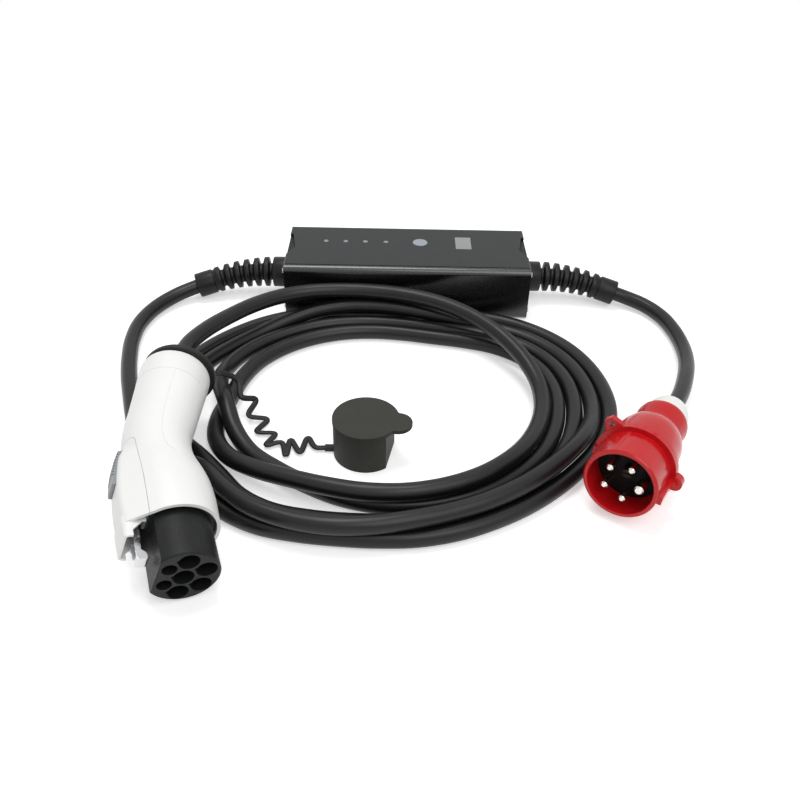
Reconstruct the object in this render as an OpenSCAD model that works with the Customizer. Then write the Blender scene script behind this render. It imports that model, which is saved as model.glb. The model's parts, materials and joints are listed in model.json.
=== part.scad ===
// Portable three-phase car charging cable: control box, charging gun with dust cap, and mains plug.
// Millimetres. X runs along the control box, Y away from its front, Z up.
// The origin is the centre of the control box's base.

/* [Control box] */
// Length of the control box
box_l = 242; // [220:1:280]
// Depth of the control box, front to back
box_d = 94; // [88:1:100]
// Height of the control box
box_h = 55; // [52:1:70]
// Wall of the extruded sleeve
box_wall = 2.5; // [2:0.25:3.5]
// Radius of the sleeve's long edges
box_edge_r = 6; // [5:0.5:8]
// Depth of the notch in each end of the top
notch_depth = 8; // [4:0.5:10]
// Thickness of the film on the top
film_t = 0.5; // [0.3:0.1:1]
// Thickness of each end cap
end_cap_t = 9; // [7:0.5:12]
// Thickness of the gasket behind each end cap
gasket_t = 1.5; // [1:0.25:3]
// Height of the main board above the base
board_z = 16; // [15:0.5:18]
// Width of the display window, along the box
window_w = 16; // [12:1:20]
// Depth of the display window
window_d = 26; // [20:1:30]
// Diameter of the round indicator lens
indicator_d = 15; // [11:0.5:18]
// Diameter of each small LED lens
led_d = 5; // [3:0.5:6]

/* [Bend reliefs] */
// Diameter of the flange against the end cap
relief_flange_d = 33; // [31.5:0.5:36]
// Diameter of the collar behind the flange
relief_collar_d = 30.5; // [28:0.5:31]
// Diameter of the plain sleeve at the far end
relief_tip_d = 24.5; // [22:0.5:25]
// Diameter of the core inside the ribs
relief_core_d = 18; // [16.5:0.5:20]
// Number of ribs
relief_ribs = 6; // [4:1:7]
// Distance from rib to rib
rib_pitch = 10; // [8:0.5:11]
// Width of one rib
rib_w = 5.5; // [4:0.5:7]
// Radius of the downward bend
relief_bend_r = 260; // [250:10:500]

/* [Cable] */
// Outer diameter of the cable
cable_d = 14.5; // [13:0.5:15.5]

/* [Charging gun] */
// Diameter of the nose
nose_d = 49.2; // [48.5:0.1:50.5]
// Distance of the nose's flat side from its axis
nose_flat = 18.1; // [17.5:0.1:18.6]
// How far the nose stands out of the housing
nose_reach = 36; // [33:1:40]
// Centre distance of neighbouring contact holes
hole_pitch = 15.6; // [15.4:0.1:16]
// Diameter of each power contact hole
power_hole_d = 14; // [12:0.2:14.4]
// Diameter of each signal contact hole
signal_hole_d = 10.2; // [8:0.2:10.6]
// Depth of the contact holes
hole_depth = 34; // [26:1:40]
// Diameter of a power contact
power_pin_d = 6; // [5:0.5:6]
// Diameter of a signal contact
signal_pin_d = 3; // [2.5:0.5:4]
// Wall of the gun's mouldings
gun_wall = 2.5; // [2:0.25:3]
// Diameter of the handle at its narrowest
waist_d = 51; // [50:0.5:52]
// Diameter of the handle at the rear collar
handle_d = 54.4; // [53:0.2:56]
// Angle between the handle and the nose
handle_angle = 18.5; // [17:0.5:20]
// Length of the handle in front of the rear collar
handle_l = 53; // [48:1:60]
// Length of the rear collar
collar_l = 22; // [18:1:26]

/* [Latch] */
// Distance of the latch pivot from the nose's front
pivot_x = 58; // [56:0.5:60]
// Diameter of the latch pivot pin
pivot_d = 4; // [3:0.25:4.5]
// Width of the latch lever
lever_w = 9; // [7:0.5:10]
// Width of the latch button
button_w = 16; // [12:0.5:18]
// Number of grip ribs on the button
button_ribs = 9; // [5:1:11]

/* [Dust cap] */
// Height of the dust cap
dust_cap_h = 35; // [32:1:42]
// Wall of the dust cap
dust_cap_wall = 1.8; // [1.5:0.1:2.4]
// How far the pull tab stands out past the cap's rim
tab_reach = 11; // [8:0.5:16]
// Thickness of the zigzag strap
strap_t = 3; // [2.4:0.2:3.6]
// Height of the zigzag strap's section
strap_h = 5; // [4:0.5:6]

/* [Mains plug] */
// Diameter of the plug's shroud
shroud_d = 56; // [55:0.5:58]
// Wall of the shroud
shroud_wall = 3.2; // [2.6:0.2:3.6]
// Depth of the shroud, from its rim to the pin carrier
shroud_depth = 24; // [20:1:28]
// Diameter of the circle that the pins stand on
pin_circle_d = 27.2; // [26:0.2:30]
// Diameter of the phase and neutral pins
phase_pin_d = 5; // [4.5:0.5:6]
// Diameter of the earth pin
earth_pin_d = 7; // [6:0.5:8]
// Diameter of the plug's flange
flange_d = 64; // [62:0.5:64]
// Length of the plug's tapered rear body
rear_body_l = 44; // [40:1:52]
// Length of the gland nut
nut_l = 24; // [20:1:30]
// Diameter of the gland nut
nut_d = 34; // [32:0.5:37]

/* [Hidden] */
$fn = 48;
eps = 0.01;
seat_gap = 0.2;
seam = 0.3;
cut = 1;

black = "#17181a";
film_grey = "#4c4d4e";
rubber_black = "#1d1d1e";
white = "#f1f1f0";
cap_grey = "#4b4b45";
plug_red = "#c81a1c";
steel = "#b9bcc0";
silver = "#d2d3d0";
board_green = "#1f5a3a";

// Where the gun and the plug lie beside the box.
gun_at = [-145, -414, 26];
gun_turn = [-70, -7.5, 109.4];
plug_at = [153, -329, 35.6];
plug_turn = [94, 6, 58.2];
dust_cap_at = [-33, -255, 0];

// Control box.
inner_d = box_d - 2 * box_wall;
inner_h = box_h - 2 * box_wall;
inner_edge_r = box_edge_r - box_wall;
notch_back = 25;
notch_mid = -4;
notch_front = -19;
notch_back_depth = notch_depth * 3 / 8;
film_side = box_edge_r + 0.5;
channel_r = 5.5;
channel_in = 5;
screw_r = 1.45;
screw_l = 18;
screw_head_r = 2.8;
screw_head_h = 1.8;
board_t = 1.6;
board_end = box_l / 2 - end_cap_t - gasket_t - 4;
board_top = board_z + board_t;
terminal_l = 12;
terminal_in = 2;
pillar_d = 6;
pillar_clear = 3.5;
pillar_left = -board_end + terminal_in + terminal_l + pillar_clear + pillar_d / 2;
card_rib = 2.5;
card_rib_t = 1.5;
panel_y = 10;
led_x = [-83, -63, -43, -22];
indicator_x = 13;
window_x = 57;
panel_board_z = board_top + 26.5;
panel_board_top = panel_board_z + board_t;
inner_top = box_h - box_wall;
film_top = box_h + film_t;
lens_lip = 1.5;
relief_z = box_h / 2 - 3;

// Bend reliefs: a straight collar, a bent stretch of ribs and a plain sleeve.
relief_flange_t = 3;
relief_collar_l = 16;
relief_neck_d = 20;
relief_lock_d = 26;
relief_lock_t = 2;
relief_tip_l = 20;
mouth_depth = 8;
mouth_d = cable_d + 1.5;
relief_angle = relief_ribs * rib_pitch / relief_bend_r * 180 / PI;
relief_out = [cos(relief_angle), 0, -sin(relief_angle)];
relief_arc_end = [box_l / 2 + relief_collar_l + relief_bend_r * sin(relief_angle), 0,
  relief_z - relief_bend_r * (1 - cos(relief_angle))];
relief_mouth = relief_arc_end + relief_tip_l * relief_out;

// Charging gun, in its own frame: X back from the nose's front, Z towards the latch.
nose_r = nose_d / 2;
head_r = nose_r + 5.9;
waist_r = waist_d / 2;
handle_r = handle_d / 2;
bend_x = nose_reach + 92;
split_z = 22;
cover_end = nose_reach + 78;
cover_corner = 5;
ridge_r = 7;
section_sides = 48;
// Each section: distance back, height, tilt, radius, ridge height, ridge half width.
gun_sections = [
  [nose_reach, 0, 0, head_r, 37, 15],
  [nose_reach + 26, 0, 0, head_r + 0.5, 37.5, 15],
  [nose_reach + 38, 0.5, 0, head_r, 36.3, 14.5],
  [nose_reach + 50, 1, 2, head_r - 1.5, 34, 14],
  [nose_reach + 60, 2, 4, head_r - 3.2, 31, 13],
  [nose_reach + 70, 3, 6, waist_r + 0.6, 26, 11],
  [nose_reach + 86, 2.5, 12, waist_r, 22, 10],
  handle_section(20, waist_r + 0.3),
  handle_section(40, (waist_r + handle_r) / 2 + 0.3),
  handle_section(handle_l, handle_r)];
collar_at = handle_l + seam;
collar_r = handle_r + 0.2;
collar_end_r = handle_r + 1;
collar_wall = 3;
collar_back = collar_at + collar_l;
gland_neck_r = 10.8;
ring_t = 5;
ring_r = 25.5;
gland_l = 16;
gland_back = collar_back + ring_t + 2 * seat_gap + gland_l;
inlay_line = [[nose_reach + 57.4, -90], [nose_reach + 56.2, -19], [nose_reach + 54.3, -8], [nose_reach + 56.3, -1],
  [nose_reach + 62.4, 3.5], [nose_reach + 72.3, 5], [nose_reach + 83.2, 4], [nose_reach + 95.1, 1.5],
  [nose_reach + 119.3, -5], [nose_reach + 147.2, -14], [nose_reach + 190, -28], [nose_reach + 190, -90]];
signal_z = 0.7 * hole_pitch;
low_row_z = -hole_pitch * sqrt(3) / 2;
power_places = [[-hole_pitch, 0], [0, 0], [hole_pitch, 0], [-hole_pitch / 2, low_row_z], [hole_pitch / 2, low_row_z]];
signal_places = [[-hole_pitch / 2, signal_z], [hole_pitch / 2, signal_z]];
nose_l = nose_reach + 44;
nose_flange_r = head_r - gun_wall - seam;
contact_tip = 12;
shelf_l = 24;
shelf_z = 8;
shelf_t = 3;

// Latch, in the gun's frame.
pivot_z = nose_flat + 8.9;
pivot_fit = 0.05;
hood_x = 17;
hood_half_w = 13;
hood_top = 38;
lever_tail = pivot_x + 48;
lever_top_front = [pivot_x + 8, pivot_z + 3.5];
lever_top_back = [lever_tail, pivot_z + 1];
lever_top_slope = (lever_top_back[1] - lever_top_front[1]) / (lever_top_back[0] - lever_top_front[0]);
button_front = pivot_x + 11;
button_back = lever_tail + 6;
button_gap = 0.8;
cheek_in = lever_w / 2 + 0.4;
cheek_t = 2.8;
spring_x = pivot_x + 18;
spring_r = 2.6;
spring_wire_d = 0.8;
spring_turns = 4;
spring_steps = 10;

// Mains plug, in its own frame: X back from the rim, Z towards the earth pin.
shroud_r = shroud_d / 2;
flange_r = flange_d / 2;
flange_at = shroud_depth + 6;
flange_t = 6;
pin_circle_r = pin_circle_d / 2;
pin_tip = 2;
body_at = flange_at + flange_t;
carrier_back = body_at - eps;
body_back = body_at + rear_body_l;
body_r = shroud_r - 1;
neck_r = nut_d / 2 + 2.5;
neck_gap = 4;
neck_l = 20;
nut_at = body_back + neck_gap + neck_l + 1;
plug_back = nut_at + nut_l;
ear_r = 6;
lug_angle = -135;
key_w = 7;
key_h = 3.2;

// Cable routes. The first points come from the pieces that the cable leaves.
tube_sides = 12;
box_lead_route = smooth(concat(mirrored_mouth(-1), [[-236, -16, 10.5], [-250, -38, 8], [-257, -70, 7.3],
  [-258, -106, 7.3], [-253, -142, 7.3], [-244, -178, 7.3], [-232, -212, 7.3], [-221, -236, 7.3]]));
plug_lead_route = smooth(concat(mirrored_mouth(1), [[237, -15, 10.5], [252, -40, 8], [261, -70, 7.4],
  [263, -102, 8], [258, -134, 11], [248, -165, 15.5]],
  [plug_point([plug_back + 16, 0, 0]), plug_point([plug_back, 0, 0])]));
gun_lead_route = smooth(concat([gun_point(handle_point(gland_back)), gun_point(handle_point(gland_back + 14))],
  [[-180, -147, 43.6], [-159, -113.4, 41.4], [-133, -83.7, 39.2], [-99, -63.7, 37.5], [-60, -57.4, 36.6],
  [-20.6, -59.6, 36.3], [17.8, -69.5, 35.8], [52.3, -89, 34.2], [80.3, -116.8, 31], [103.4, -148, 23.5],
  [115, -183, 10], [111, -222, 8], [95, -258, 7.5], [67.4, -286.6, 8.2], [34.8, -307, 15], [0, -324, 21.6],
  [-38, -330, 13.3], [-76, -322, 7.9], [-113, -307, 7.3], [-141, -279, 7.3], [-161.6, -246, 7.3]]));
// The coil: a flat ring around the turns on the floor, with the raised turn on it at the front and at the box.
coil_at = [-20, -207];
coil_outer = [[0, 202], [15, 205], [30, 204], [45, 197], [60, 185], [75, 170], [90, 160], [105, 168], [120, 178],
  [135, 187], [150, 193], [165, 199], [180, 201], [195, 196], [210, 184], [225, 176], [240, 171], [255, 165],
  [270, 160], [285, 160], [300, 164], [315, 169], [330, 179], [345, 192], [360, 202]];
coil_inner = [[0, 139], [15, 142], [30, 141], [45, 132], [60, 118], [75, 113], [90, 113], [105, 116], [120, 120],
  [135, 123], [150, 126], [165, 127], [180, 128], [195, 122], [210, 112], [225, 106], [240, 104], [255, 104],
  [270, 105], [285, 112], [300, 118], [315, 124], [330, 130], [345, 135], [360, 139]];
coil_back_room = -coil_at[1] - box_d / 2 - 0.5;
coil_bevel = 0.3 * cable_d;
coil_steps = 72;
front_over_route = smooth([[-140, -318, 10], [-114, -341.5, 19], [-85, -354.4, 22], [-54, -360, 22], [-22, -359.5, 22],
  [8, -351, 20.3], [38.4, -341.2, 20], [66.6, -327, 21], [92.7, -308.8, 21], [116, -287, 21], [135.5, -262, 19],
  [150, -234.6, 14], [157, -206, 8.5]]);
back_over_route = smooth([[55.6, -69, 8], [25, -66.4, 15], [-6, -62.7, 19.4], [-38, -60.3, 20.8], [-69.6, -62, 19.8],
  [-100, -70.5, 16], [-127.6, -85, 9]]);
// The zigzag strap, from the ring on the gun down to the dust cap.
strap_route = [[-161, -201, 33], [-150, -197, 24], [-145, -209, 16], [-137, -203, 9], [-140, -219, 4],
  [-124, -219, 0.5], [-129, -237, 0.5], [-113, -238, 0.5], [-116, -253, 0.5], [-105, -249, 0.5], [-98, -265, 0.5],
  [-95, -246, 0.5], [-86, -261, 0.5], [-81, -243, 0.5], [-73, -255, 0.5]];

function unit(v) = v / norm(v);
function about_x(v, a) = [v[0], v[1] * cos(a) - v[2] * sin(a), v[1] * sin(a) + v[2] * cos(a)];
function about_y(v, a) = [v[0] * cos(a) + v[2] * sin(a), v[1], v[2] * cos(a) - v[0] * sin(a)];
function about_z(v, a) = [v[0] * cos(a) - v[1] * sin(a), v[0] * sin(a) + v[1] * cos(a), v[2]];
function turned(v, r) = about_z(about_y(about_x(v, r[0]), r[1]), r[2]);
function gun_point(p) = gun_at + turned(p, gun_turn);
function plug_point(p) = plug_at + turned(p, plug_turn);
function handle_point(s) = [bend_x + s * cos(handle_angle), 0, -s * sin(handle_angle)];
function handle_section(s, r) = [handle_point(s)[0], handle_point(s)[2], handle_angle, r, 0, ridge_r];
// The points around one section of the gun: a round grip with a ridge over the latch.
function section_point(s, inset, a) =
  let (n = [cos(a), sin(a)], grip = s[3] - inset, edge = ridge_r - inset,
    c = [(n[0] < 0 ? -1 : 1) * (s[5] - ridge_r), s[4] - ridge_r],
    p = s[4] > 0 && c * n + edge > grip ? c + edge * n : grip * n)
  [s[0] + p[1] * sin(s[2]), p[0], s[1] + p[1] * cos(s[2])];
function section_points(s, inset) = [for (k = [0:section_sides - 1])
  section_point(s, inset, 360 * (k + 0.5) / section_sides)];
function mirrored_mouth(side) = [for (d = [-mouth_depth, 8])
  let (p = relief_mouth + d * relief_out) [side * p[0], p[1], p[2]]];
function lever_top(x) = lever_top_front[1] + (x - lever_top_front[0]) * lever_top_slope;
// The coil's outer and inner radius at an angle, and a point on its section there.
function coil_outside(a) = min(lookup(a, coil_outer), coil_back_room / max(sin(a), 0.01));
function coil_point(r, a, z) = [coil_at[0] + r * cos(a), coil_at[1] + r * sin(a), z];
function coil_section(a) = let (out = coil_outside(a), in = lookup(a, coil_inner), b = coil_bevel, h = cable_d) [
  coil_point(out, a, b), coil_point(out, a, h - b), coil_point(out - b, a, h), coil_point(in + b, a, h),
  coil_point(in, a, h - b), coil_point(in, a, b), coil_point(in + b, a, 0), coil_point(out - b, a, 0)];

// A route with one more point between each pair of points, on a smooth curve through them.
function mid_point(p, i) = let (n = len(p) - 1)
  (9 * (p[i] + p[i + 1]) - p[max(i - 1, 0)] - p[min(i + 2, n)]) / 16;
function smooth(p) = concat([for (i = [0:len(p) - 2]) each [p[i], mid_point(p, i)]], [p[len(p) - 1]]);
function route_tangent(p, i) = unit(p[min(i + 1, len(p) - 1)] - p[max(i - 1, 0)]);
function route_ring(p, i, r, up) =
  let (t = route_tangent(p, i), s = unit(cross(t, up)), u = cross(s, t))
  [for (k = [0:tube_sides - 1]) p[i] + r * (cos(360 * k / tube_sides) * s + sin(360 * k / tube_sides) * u)];

// A round tube along a route, with one ring at each of its points.
module tube(p, r, up = [0, 0, 1]) {
  n = tube_sides;
  last = len(p) - 1;
  polyhedron(
    points = [for (i = [0:last]) each route_ring(p, i, r, up)],
    faces = concat(
      [[for (k = [n - 1:-1:0]) k]],
      [for (i = [0:last - 1], k = [0:n - 1])
        [i * n + k, i * n + (k + 1) % n, (i + 1) * n + (k + 1) % n, (i + 1) * n + k]],
      [[for (k = [0:n - 1]) last * n + k]]));
}

// A rectangle with round corners, centred on the origin.
module round_rect(w, h, r) {
  square([w - 2 * r, h], center = true);
  square([w, h - 2 * r], center = true);
  for (x = [-1, 1], y = [-1, 1])
    translate([x * (w / 2 - r), y * (h / 2 - r)]) circle(r);
}

// A flat outline across the box, pushed along X between two distances.
module along_x(from, to) {
  translate([from, 0, 0]) rotate([90, 0, 90]) linear_extrude(to - from) children();
}

module rod_x(r, from, to) {
  translate([from, 0, 0]) rotate([0, 90, 0]) cylinder(r = r, h = to - from);
}

module cone_x(r1, r2, from, to) {
  translate([from, 0, 0]) rotate([0, 90, 0]) cylinder(r1 = r1, r2 = r2, h = to - from);
}

module box_outline(inset, r) {
  translate([0, box_h / 2]) round_rect(box_d - 2 * inset, box_h - 2 * inset, r);
}

// The notches in both ends of the box's top sheet.
module end_notches(from_z, to_z) {
  for (side = [0, 1]) mirror([side, 0, 0])
    translate([0, 0, from_z]) linear_extrude(to_z - from_z)
      polygon([[box_l / 2 + cut, notch_back], [box_l / 2 - notch_back_depth, notch_back],
        [box_l / 2 - notch_depth, notch_mid], [box_l / 2, notch_front], [box_l / 2 + cut, notch_front]]);
}

module at_channels() {
  for (y = [-1, 1], top = [0, 1])
    translate([0, y * (inner_d / 2 - channel_in), top ? inner_top - channel_in : box_wall + channel_in]) children();
}

module panel_cuts(gap, from_z, to_z) {
  translate([0, panel_y, from_z]) {
    translate([window_x - window_w / 2 - gap, -window_d / 2 - gap, 0])
      cube([window_w + 2 * gap, window_d + 2 * gap, to_z - from_z]);
    translate([indicator_x, 0, 0]) cylinder(d = indicator_d + 2 * gap, h = to_z - from_z);
    for (x = led_x) translate([x, 0, 0]) cylinder(d = led_d + 2 * gap, h = to_z - from_z);
  }
}

module box_sleeve() {
  color(black) difference() {
    union() {
      along_x(-box_l / 2, box_l / 2) difference() {
        box_outline(0, box_edge_r);
        box_outline(box_wall, inner_edge_r);
      }
      along_x(-box_l / 2 + end_cap_t + gasket_t, box_l / 2 - end_cap_t - gasket_t) {
        difference() {
          intersection() {
            box_outline(box_wall / 2, inner_edge_r);
            for (y = [-1, 1], z = [box_wall + channel_in, inner_top - channel_in])
              translate([y * (inner_d / 2 - channel_in), z]) circle(channel_r);
          }
          for (y = [-1, 1], z = [box_wall + channel_in, inner_top - channel_in])
            translate([y * (inner_d / 2 - channel_in), z]) circle(screw_r + 0.05);
        }
        for (y = [-1, 1], z = [board_z - seat_gap - card_rib_t / 2, board_top + seat_gap + card_rib_t / 2])
          translate([y * (inner_d / 2 - card_rib / 2 + 0.5), z])
            square([card_rib + 1, card_rib_t], center = true);
      }
    }
    end_notches(inner_top - eps, box_h + cut);
    panel_cuts(seat_gap, inner_top - cut, box_h + cut);
  }
}

module top_film() {
  color(film_grey) difference() {
    translate([-box_l / 2 + cut, -box_d / 2 + film_side, box_h])
      cube([box_l - 2 * cut, box_d - 2 * film_side, film_t]);
    end_notches(box_h - cut, film_top + cut);
    panel_cuts(seat_gap, box_h - cut, film_top + cut);
  }
}

module end_cap() {
  color(black) difference() {
    along_x(box_l / 2 - end_cap_t, box_l / 2) box_outline(box_wall + seat_gap, inner_edge_r - seat_gap);
    translate([0, 0, relief_z]) rod_x(relief_neck_d / 2 + seat_gap, box_l / 2 - end_cap_t - cut, box_l / 2 + cut);
    at_channels() rod_x(screw_r + seat_gap, box_l / 2 - end_cap_t - cut, box_l / 2 + cut);
  }
}

module end_cap_right() { end_cap(); }
module end_cap_left() { mirror([1, 0, 0]) end_cap(); }

module gasket() {
  color(rubber_black) difference() {
    along_x(box_l / 2 - end_cap_t - gasket_t, box_l / 2 - end_cap_t) difference() {
      box_outline(box_wall + seat_gap, inner_edge_r - seat_gap);
      translate([0, box_h / 2]) square([inner_d - 20, inner_h - 10], center = true);
    }
    at_channels() rod_x(screw_r + seat_gap, box_l / 2 - end_cap_t - gasket_t - cut, box_l / 2);
  }
}

module gasket_right() { gasket(); }
module gasket_left() { mirror([1, 0, 0]) gasket(); }

module end_screws() {
  color(steel) for (side = [0, 1]) mirror([side, 0, 0]) at_channels() difference() {
    union() {
      rod_x(screw_r, box_l / 2 - screw_l, box_l / 2 + eps);
      cone_x(screw_head_r, screw_head_r - 0.6, box_l / 2, box_l / 2 + screw_head_h);
    }
    along_x(box_l / 2 + screw_head_h / 2, box_l / 2 + screw_head_h + cut) circle(1.2, $fn = 6);
  }
}

module display_window() {
  color("#9a9e9d") translate([window_x - window_w / 2, panel_y - window_d / 2, inner_top - seat_gap])
    cube([window_w, window_d, film_top - inner_top + seat_gap]);
}

// A light pipe: a lens in the film, a lip under the sheet and a stem down to the display board.
module light_pipe(d) {
  translate([0, 0, panel_board_top]) cylinder(d = d * 0.6, h = inner_top - panel_board_top);
  translate([0, 0, inner_top - lens_lip - seat_gap]) cylinder(d = d + 3, h = lens_lip);
  translate([0, 0, inner_top - lens_lip]) cylinder(d = d, h = film_top - inner_top + lens_lip);
}

module indicator_lens() {
  color("#c8d0e0") translate([indicator_x, panel_y, 0]) light_pipe(indicator_d);
}

module led_lenses() {
  color("#d8dcd8") for (x = led_x) translate([x, panel_y, 0]) light_pipe(led_d);
}

// Children placed at an angle along the relief's bend, with X along the cable.
module along_relief(a) {
  translate([box_l / 2 + relief_collar_l, 0, relief_z - relief_bend_r])
    rotate([0, a, 0]) translate([0, 0, relief_bend_r]) children();
}

module bend_relief() {
  lock_x = box_l / 2 - end_cap_t;
  step = relief_angle / relief_ribs;
  gap = rib_pitch - rib_w;
  rib_drop = (relief_collar_d - relief_tip_d) / 2 / relief_ribs;
  color(rubber_black) difference() {
    union() {
      translate([0, 0, relief_z]) {
        rod_x(relief_lock_d / 2, lock_x - relief_lock_t, lock_x);
        rod_x(relief_neck_d / 2, lock_x - eps, box_l / 2 + eps);
        rod_x(relief_flange_d / 2, box_l / 2, box_l / 2 + relief_flange_t);
        rod_x(relief_collar_d / 2, box_l / 2 + relief_flange_t - eps, box_l / 2 + relief_collar_l);
      }
      translate([box_l / 2 + relief_collar_l, 0, relief_z - relief_bend_r]) rotate([90, 0, 0])
        rotate([0, 0, 90 - relief_angle]) rotate_extrude(angle = relief_angle, $fn = 200)
          translate([relief_bend_r, 0]) circle(d = relief_core_d);
      for (i = [0:relief_ribs - 1]) {
        rib_r = relief_collar_d / 2 - i * rib_drop;
        along_relief(step * (i + 1)) cone_x(rib_r, rib_r - 0.8, -rib_w, i == relief_ribs - 1 ? eps : 0);
        along_relief(step * i) rotate([90 * (i % 2), 0, 0])
          translate([-eps, -3.5, -rib_r + 2]) cube([gap + 0.6, 7, 2 * rib_r - 4]);
      }
      along_relief(relief_angle) rod_x(relief_tip_d / 2, 0, relief_tip_l);
    }
    along_relief(relief_angle) rod_x(mouth_d / 2, relief_tip_l - mouth_depth, relief_tip_l + cut);
  }
}

module relief_right() { bend_relief(); }
module relief_left() { mirror([1, 0, 0]) bend_relief(); }

module main_board() {
  color(board_green) translate([-board_end, -inner_d / 2 + seat_gap, board_z])
    cube([2 * board_end, inner_d - 2 * seat_gap, board_t]);
}

module at_pillars() {
  for (x = [pillar_left, 74], y = [-10, 26]) translate([x, y, 0]) children();
}

module display_board() {
  color(board_green) translate([-98, -16, panel_board_z]) cube([180, 48, board_t]);
}

module board_pillars() {
  color(silver) at_pillars() translate([0, 0, board_top]) cylinder(d = pillar_d, h = panel_board_z - board_top);
}

module display_module() {
  margin = 2;
  color(black) translate([window_x - window_w / 2 - margin, panel_y - window_d / 2 - margin, panel_board_top])
    cube([window_w + 2 * margin, window_d + 2 * margin, inner_top - seat_gap - panel_board_top]);
}

module relays() {
  color("#23364e") for (x = [-70, -34]) translate([x, -34, board_top]) cube([30, 16, 24]);
}

module current_sensor() {
  color("#2a2a2a") translate([14, -22, board_top]) difference() {
    cylinder(r = 15, h = 14);
    translate([0, 0, -cut]) cylinder(r = 8, h = 14 + 2 * cut);
  }
}

module power_supply() {
  color("#d9c46a") translate([36, -34, board_top]) cube([34, 26, 20]);
}

module terminal() {
  color("#3c7d4a") translate([board_end - terminal_in - terminal_l, -20, board_top]) cube([terminal_l, 40, 8]);
}

module terminal_right() { terminal(); }
module terminal_left() { mirror([1, 0, 0]) terminal(); }

module gun_place() {
  translate(gun_at) rotate(gun_turn) children();
}

module handle_place() {
  translate([bend_x, 0, 0]) rotate([0, handle_angle, 0]) children();
}

// The solid between two sections, each given as its points.
module gun_span(a, b) {
  hull() polyhedron(points = concat(a, b), faces = [[for (k = [0:len(a) + len(b) - 1]) k]]);
}

// The gun's moulded form, lofted through its sections.
module gun_form(inset) {
  for (i = [0:len(gun_sections) - 2])
    gun_span(section_points(gun_sections[i], inset), section_points(gun_sections[i + 1], inset));
}

// The hollow inside the mouldings, open at both ends.
module gun_hollow() {
  front = section_points(gun_sections[0], gun_wall);
  back = section_points(gun_sections[len(gun_sections) - 1], gun_wall);
  back_step = cut * [cos(handle_angle), 0, -sin(handle_angle)];
  gun_form(gun_wall);
  gun_span([for (p = front) p - [cut, 0, 0]], front);
  gun_span(back, [for (p = back) p + back_step]);
}

module gun_skin() {
  difference() {
    gun_form(0);
    gun_hollow();
  }
}

// The space of the latch cover, above the seam along the head.
module cover_space(gap) {
  across_gun(120) {
    translate([-cut, split_z - gap]) square([cover_end + gap + cut - cover_corner, 60]);
    translate([-cut, split_z - gap + cover_corner]) square([cover_end + gap + cut, 60]);
    translate([cover_end + gap - cover_corner, split_z - gap + cover_corner]) circle(cover_corner);
  }
}

// The space of the grip inlay, under its seam along the handle.
module inlay_space(gap) {
  translate([-gap, 60, gap]) rotate([90, 0, 0]) linear_extrude(120)
    polygon(inlay_line);
}

module gun_housing() {
  color(white) gun_place() difference() {
    gun_skin();
    cover_space(seam);
    inlay_space(seam);
  }
}

module hood_solid(inset, from, to) {
  along_x(from, to) {
    for (side = [-1, 1]) translate([side * (hood_half_w - 5), hood_top - 5]) circle(5 - inset, $fn = 16);
    translate([-hood_half_w + inset, split_z - inset])
      square([2 * (hood_half_w - inset), hood_top - 5 - split_z + inset]);
    translate([-hood_half_w + 5, hood_top - 10]) square([2 * (hood_half_w - 5), 10 - inset]);
  }
}

module latch_cover() {
  color(white) gun_place() difference() {
    union() {
      intersection() {
        gun_skin();
        cover_space(0);
      }
      difference() {
        hood_solid(0, hood_x, nose_reach + 6);
        hood_solid(2, hood_x - cut, nose_reach + 7);
        across_gun(4 * hood_half_w) polygon([[hood_x - cut, split_z - 4], [nose_reach + cut, split_z - 4],
          [nose_reach + cut, hood_top - 11], [hood_x + 4, hood_top - 5], [hood_x - cut, hood_top - 5]]);
      }
    }
    translate([button_front - button_gap, -button_w / 2 - 0.5, split_z - cut])
      cube([button_back - button_front + 2 * button_gap, button_w + 1, 60]);
  }
}

module grip_inlay() {
  color(white) gun_place() intersection() {
    gun_skin();
    inlay_space(0);
  }
}

module rear_collar() {
  color(white) gun_place() handle_place() difference() {
    cone_x(collar_r, collar_end_r, collar_at, collar_back);
    rod_x(collar_r - collar_wall, collar_at - cut, collar_back - collar_wall);
    rod_x(gland_neck_r + seat_gap, collar_back - collar_wall - cut, collar_back + cut);
  }
}

module at_places(places) {
  for (p = places) translate([0, p[0], p[1]]) children();
}

module gun_nose() {
  bevel = 1.2;
  key_r = 1.6;
  color(black) gun_place() difference() {
    union() {
      cone_x(nose_r - bevel, nose_r, 0, bevel);
      rod_x(nose_r, bevel - eps, nose_l);
      rod_x(nose_flange_r, nose_reach + 3, nose_reach + 9);
      translate([nose_l - eps, -4.5, shelf_z]) cube([shelf_l, 9, shelf_t]);
    }
    translate([-cut, -50, nose_flat]) cube([nose_l + shelf_l + 2 * cut, 100, 50]);
    at_places(power_places) {
      rod_x(power_hole_d / 2, -cut, hole_depth);
      rod_x(power_pin_d / 2 + 1 + seat_gap, hole_depth - cut, nose_l + cut);
      translate([0, 0, power_hole_d / 2 - 0.5]) rod_x(key_r, -cut, hole_depth);
    }
    at_places(signal_places) {
      rod_x(signal_hole_d / 2, -cut, hole_depth);
      rod_x(signal_pin_d / 2 + 1 + seat_gap, hole_depth - cut, nose_l + cut);
    }
  }
}

// A turned contact: a round tip in the hole, a shoulder on its floor and a shank through the nose.
module contact(d) {
  rod_x(d / 2, contact_tip + d / 4, hole_depth - eps);
  cone_x(d / 4, d / 2, contact_tip, contact_tip + d / 4 + eps);
  rod_x(d / 2 + 2, hole_depth - 3, hole_depth);
  rod_x(d / 2 + 1, hole_depth - eps, nose_l + 5);
}

module power_contacts() {
  color(silver) gun_place() at_places(power_places) contact(power_pin_d);
}

module signal_contacts() {
  color(silver) gun_place() at_places(signal_places) contact(signal_pin_d);
}

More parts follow.
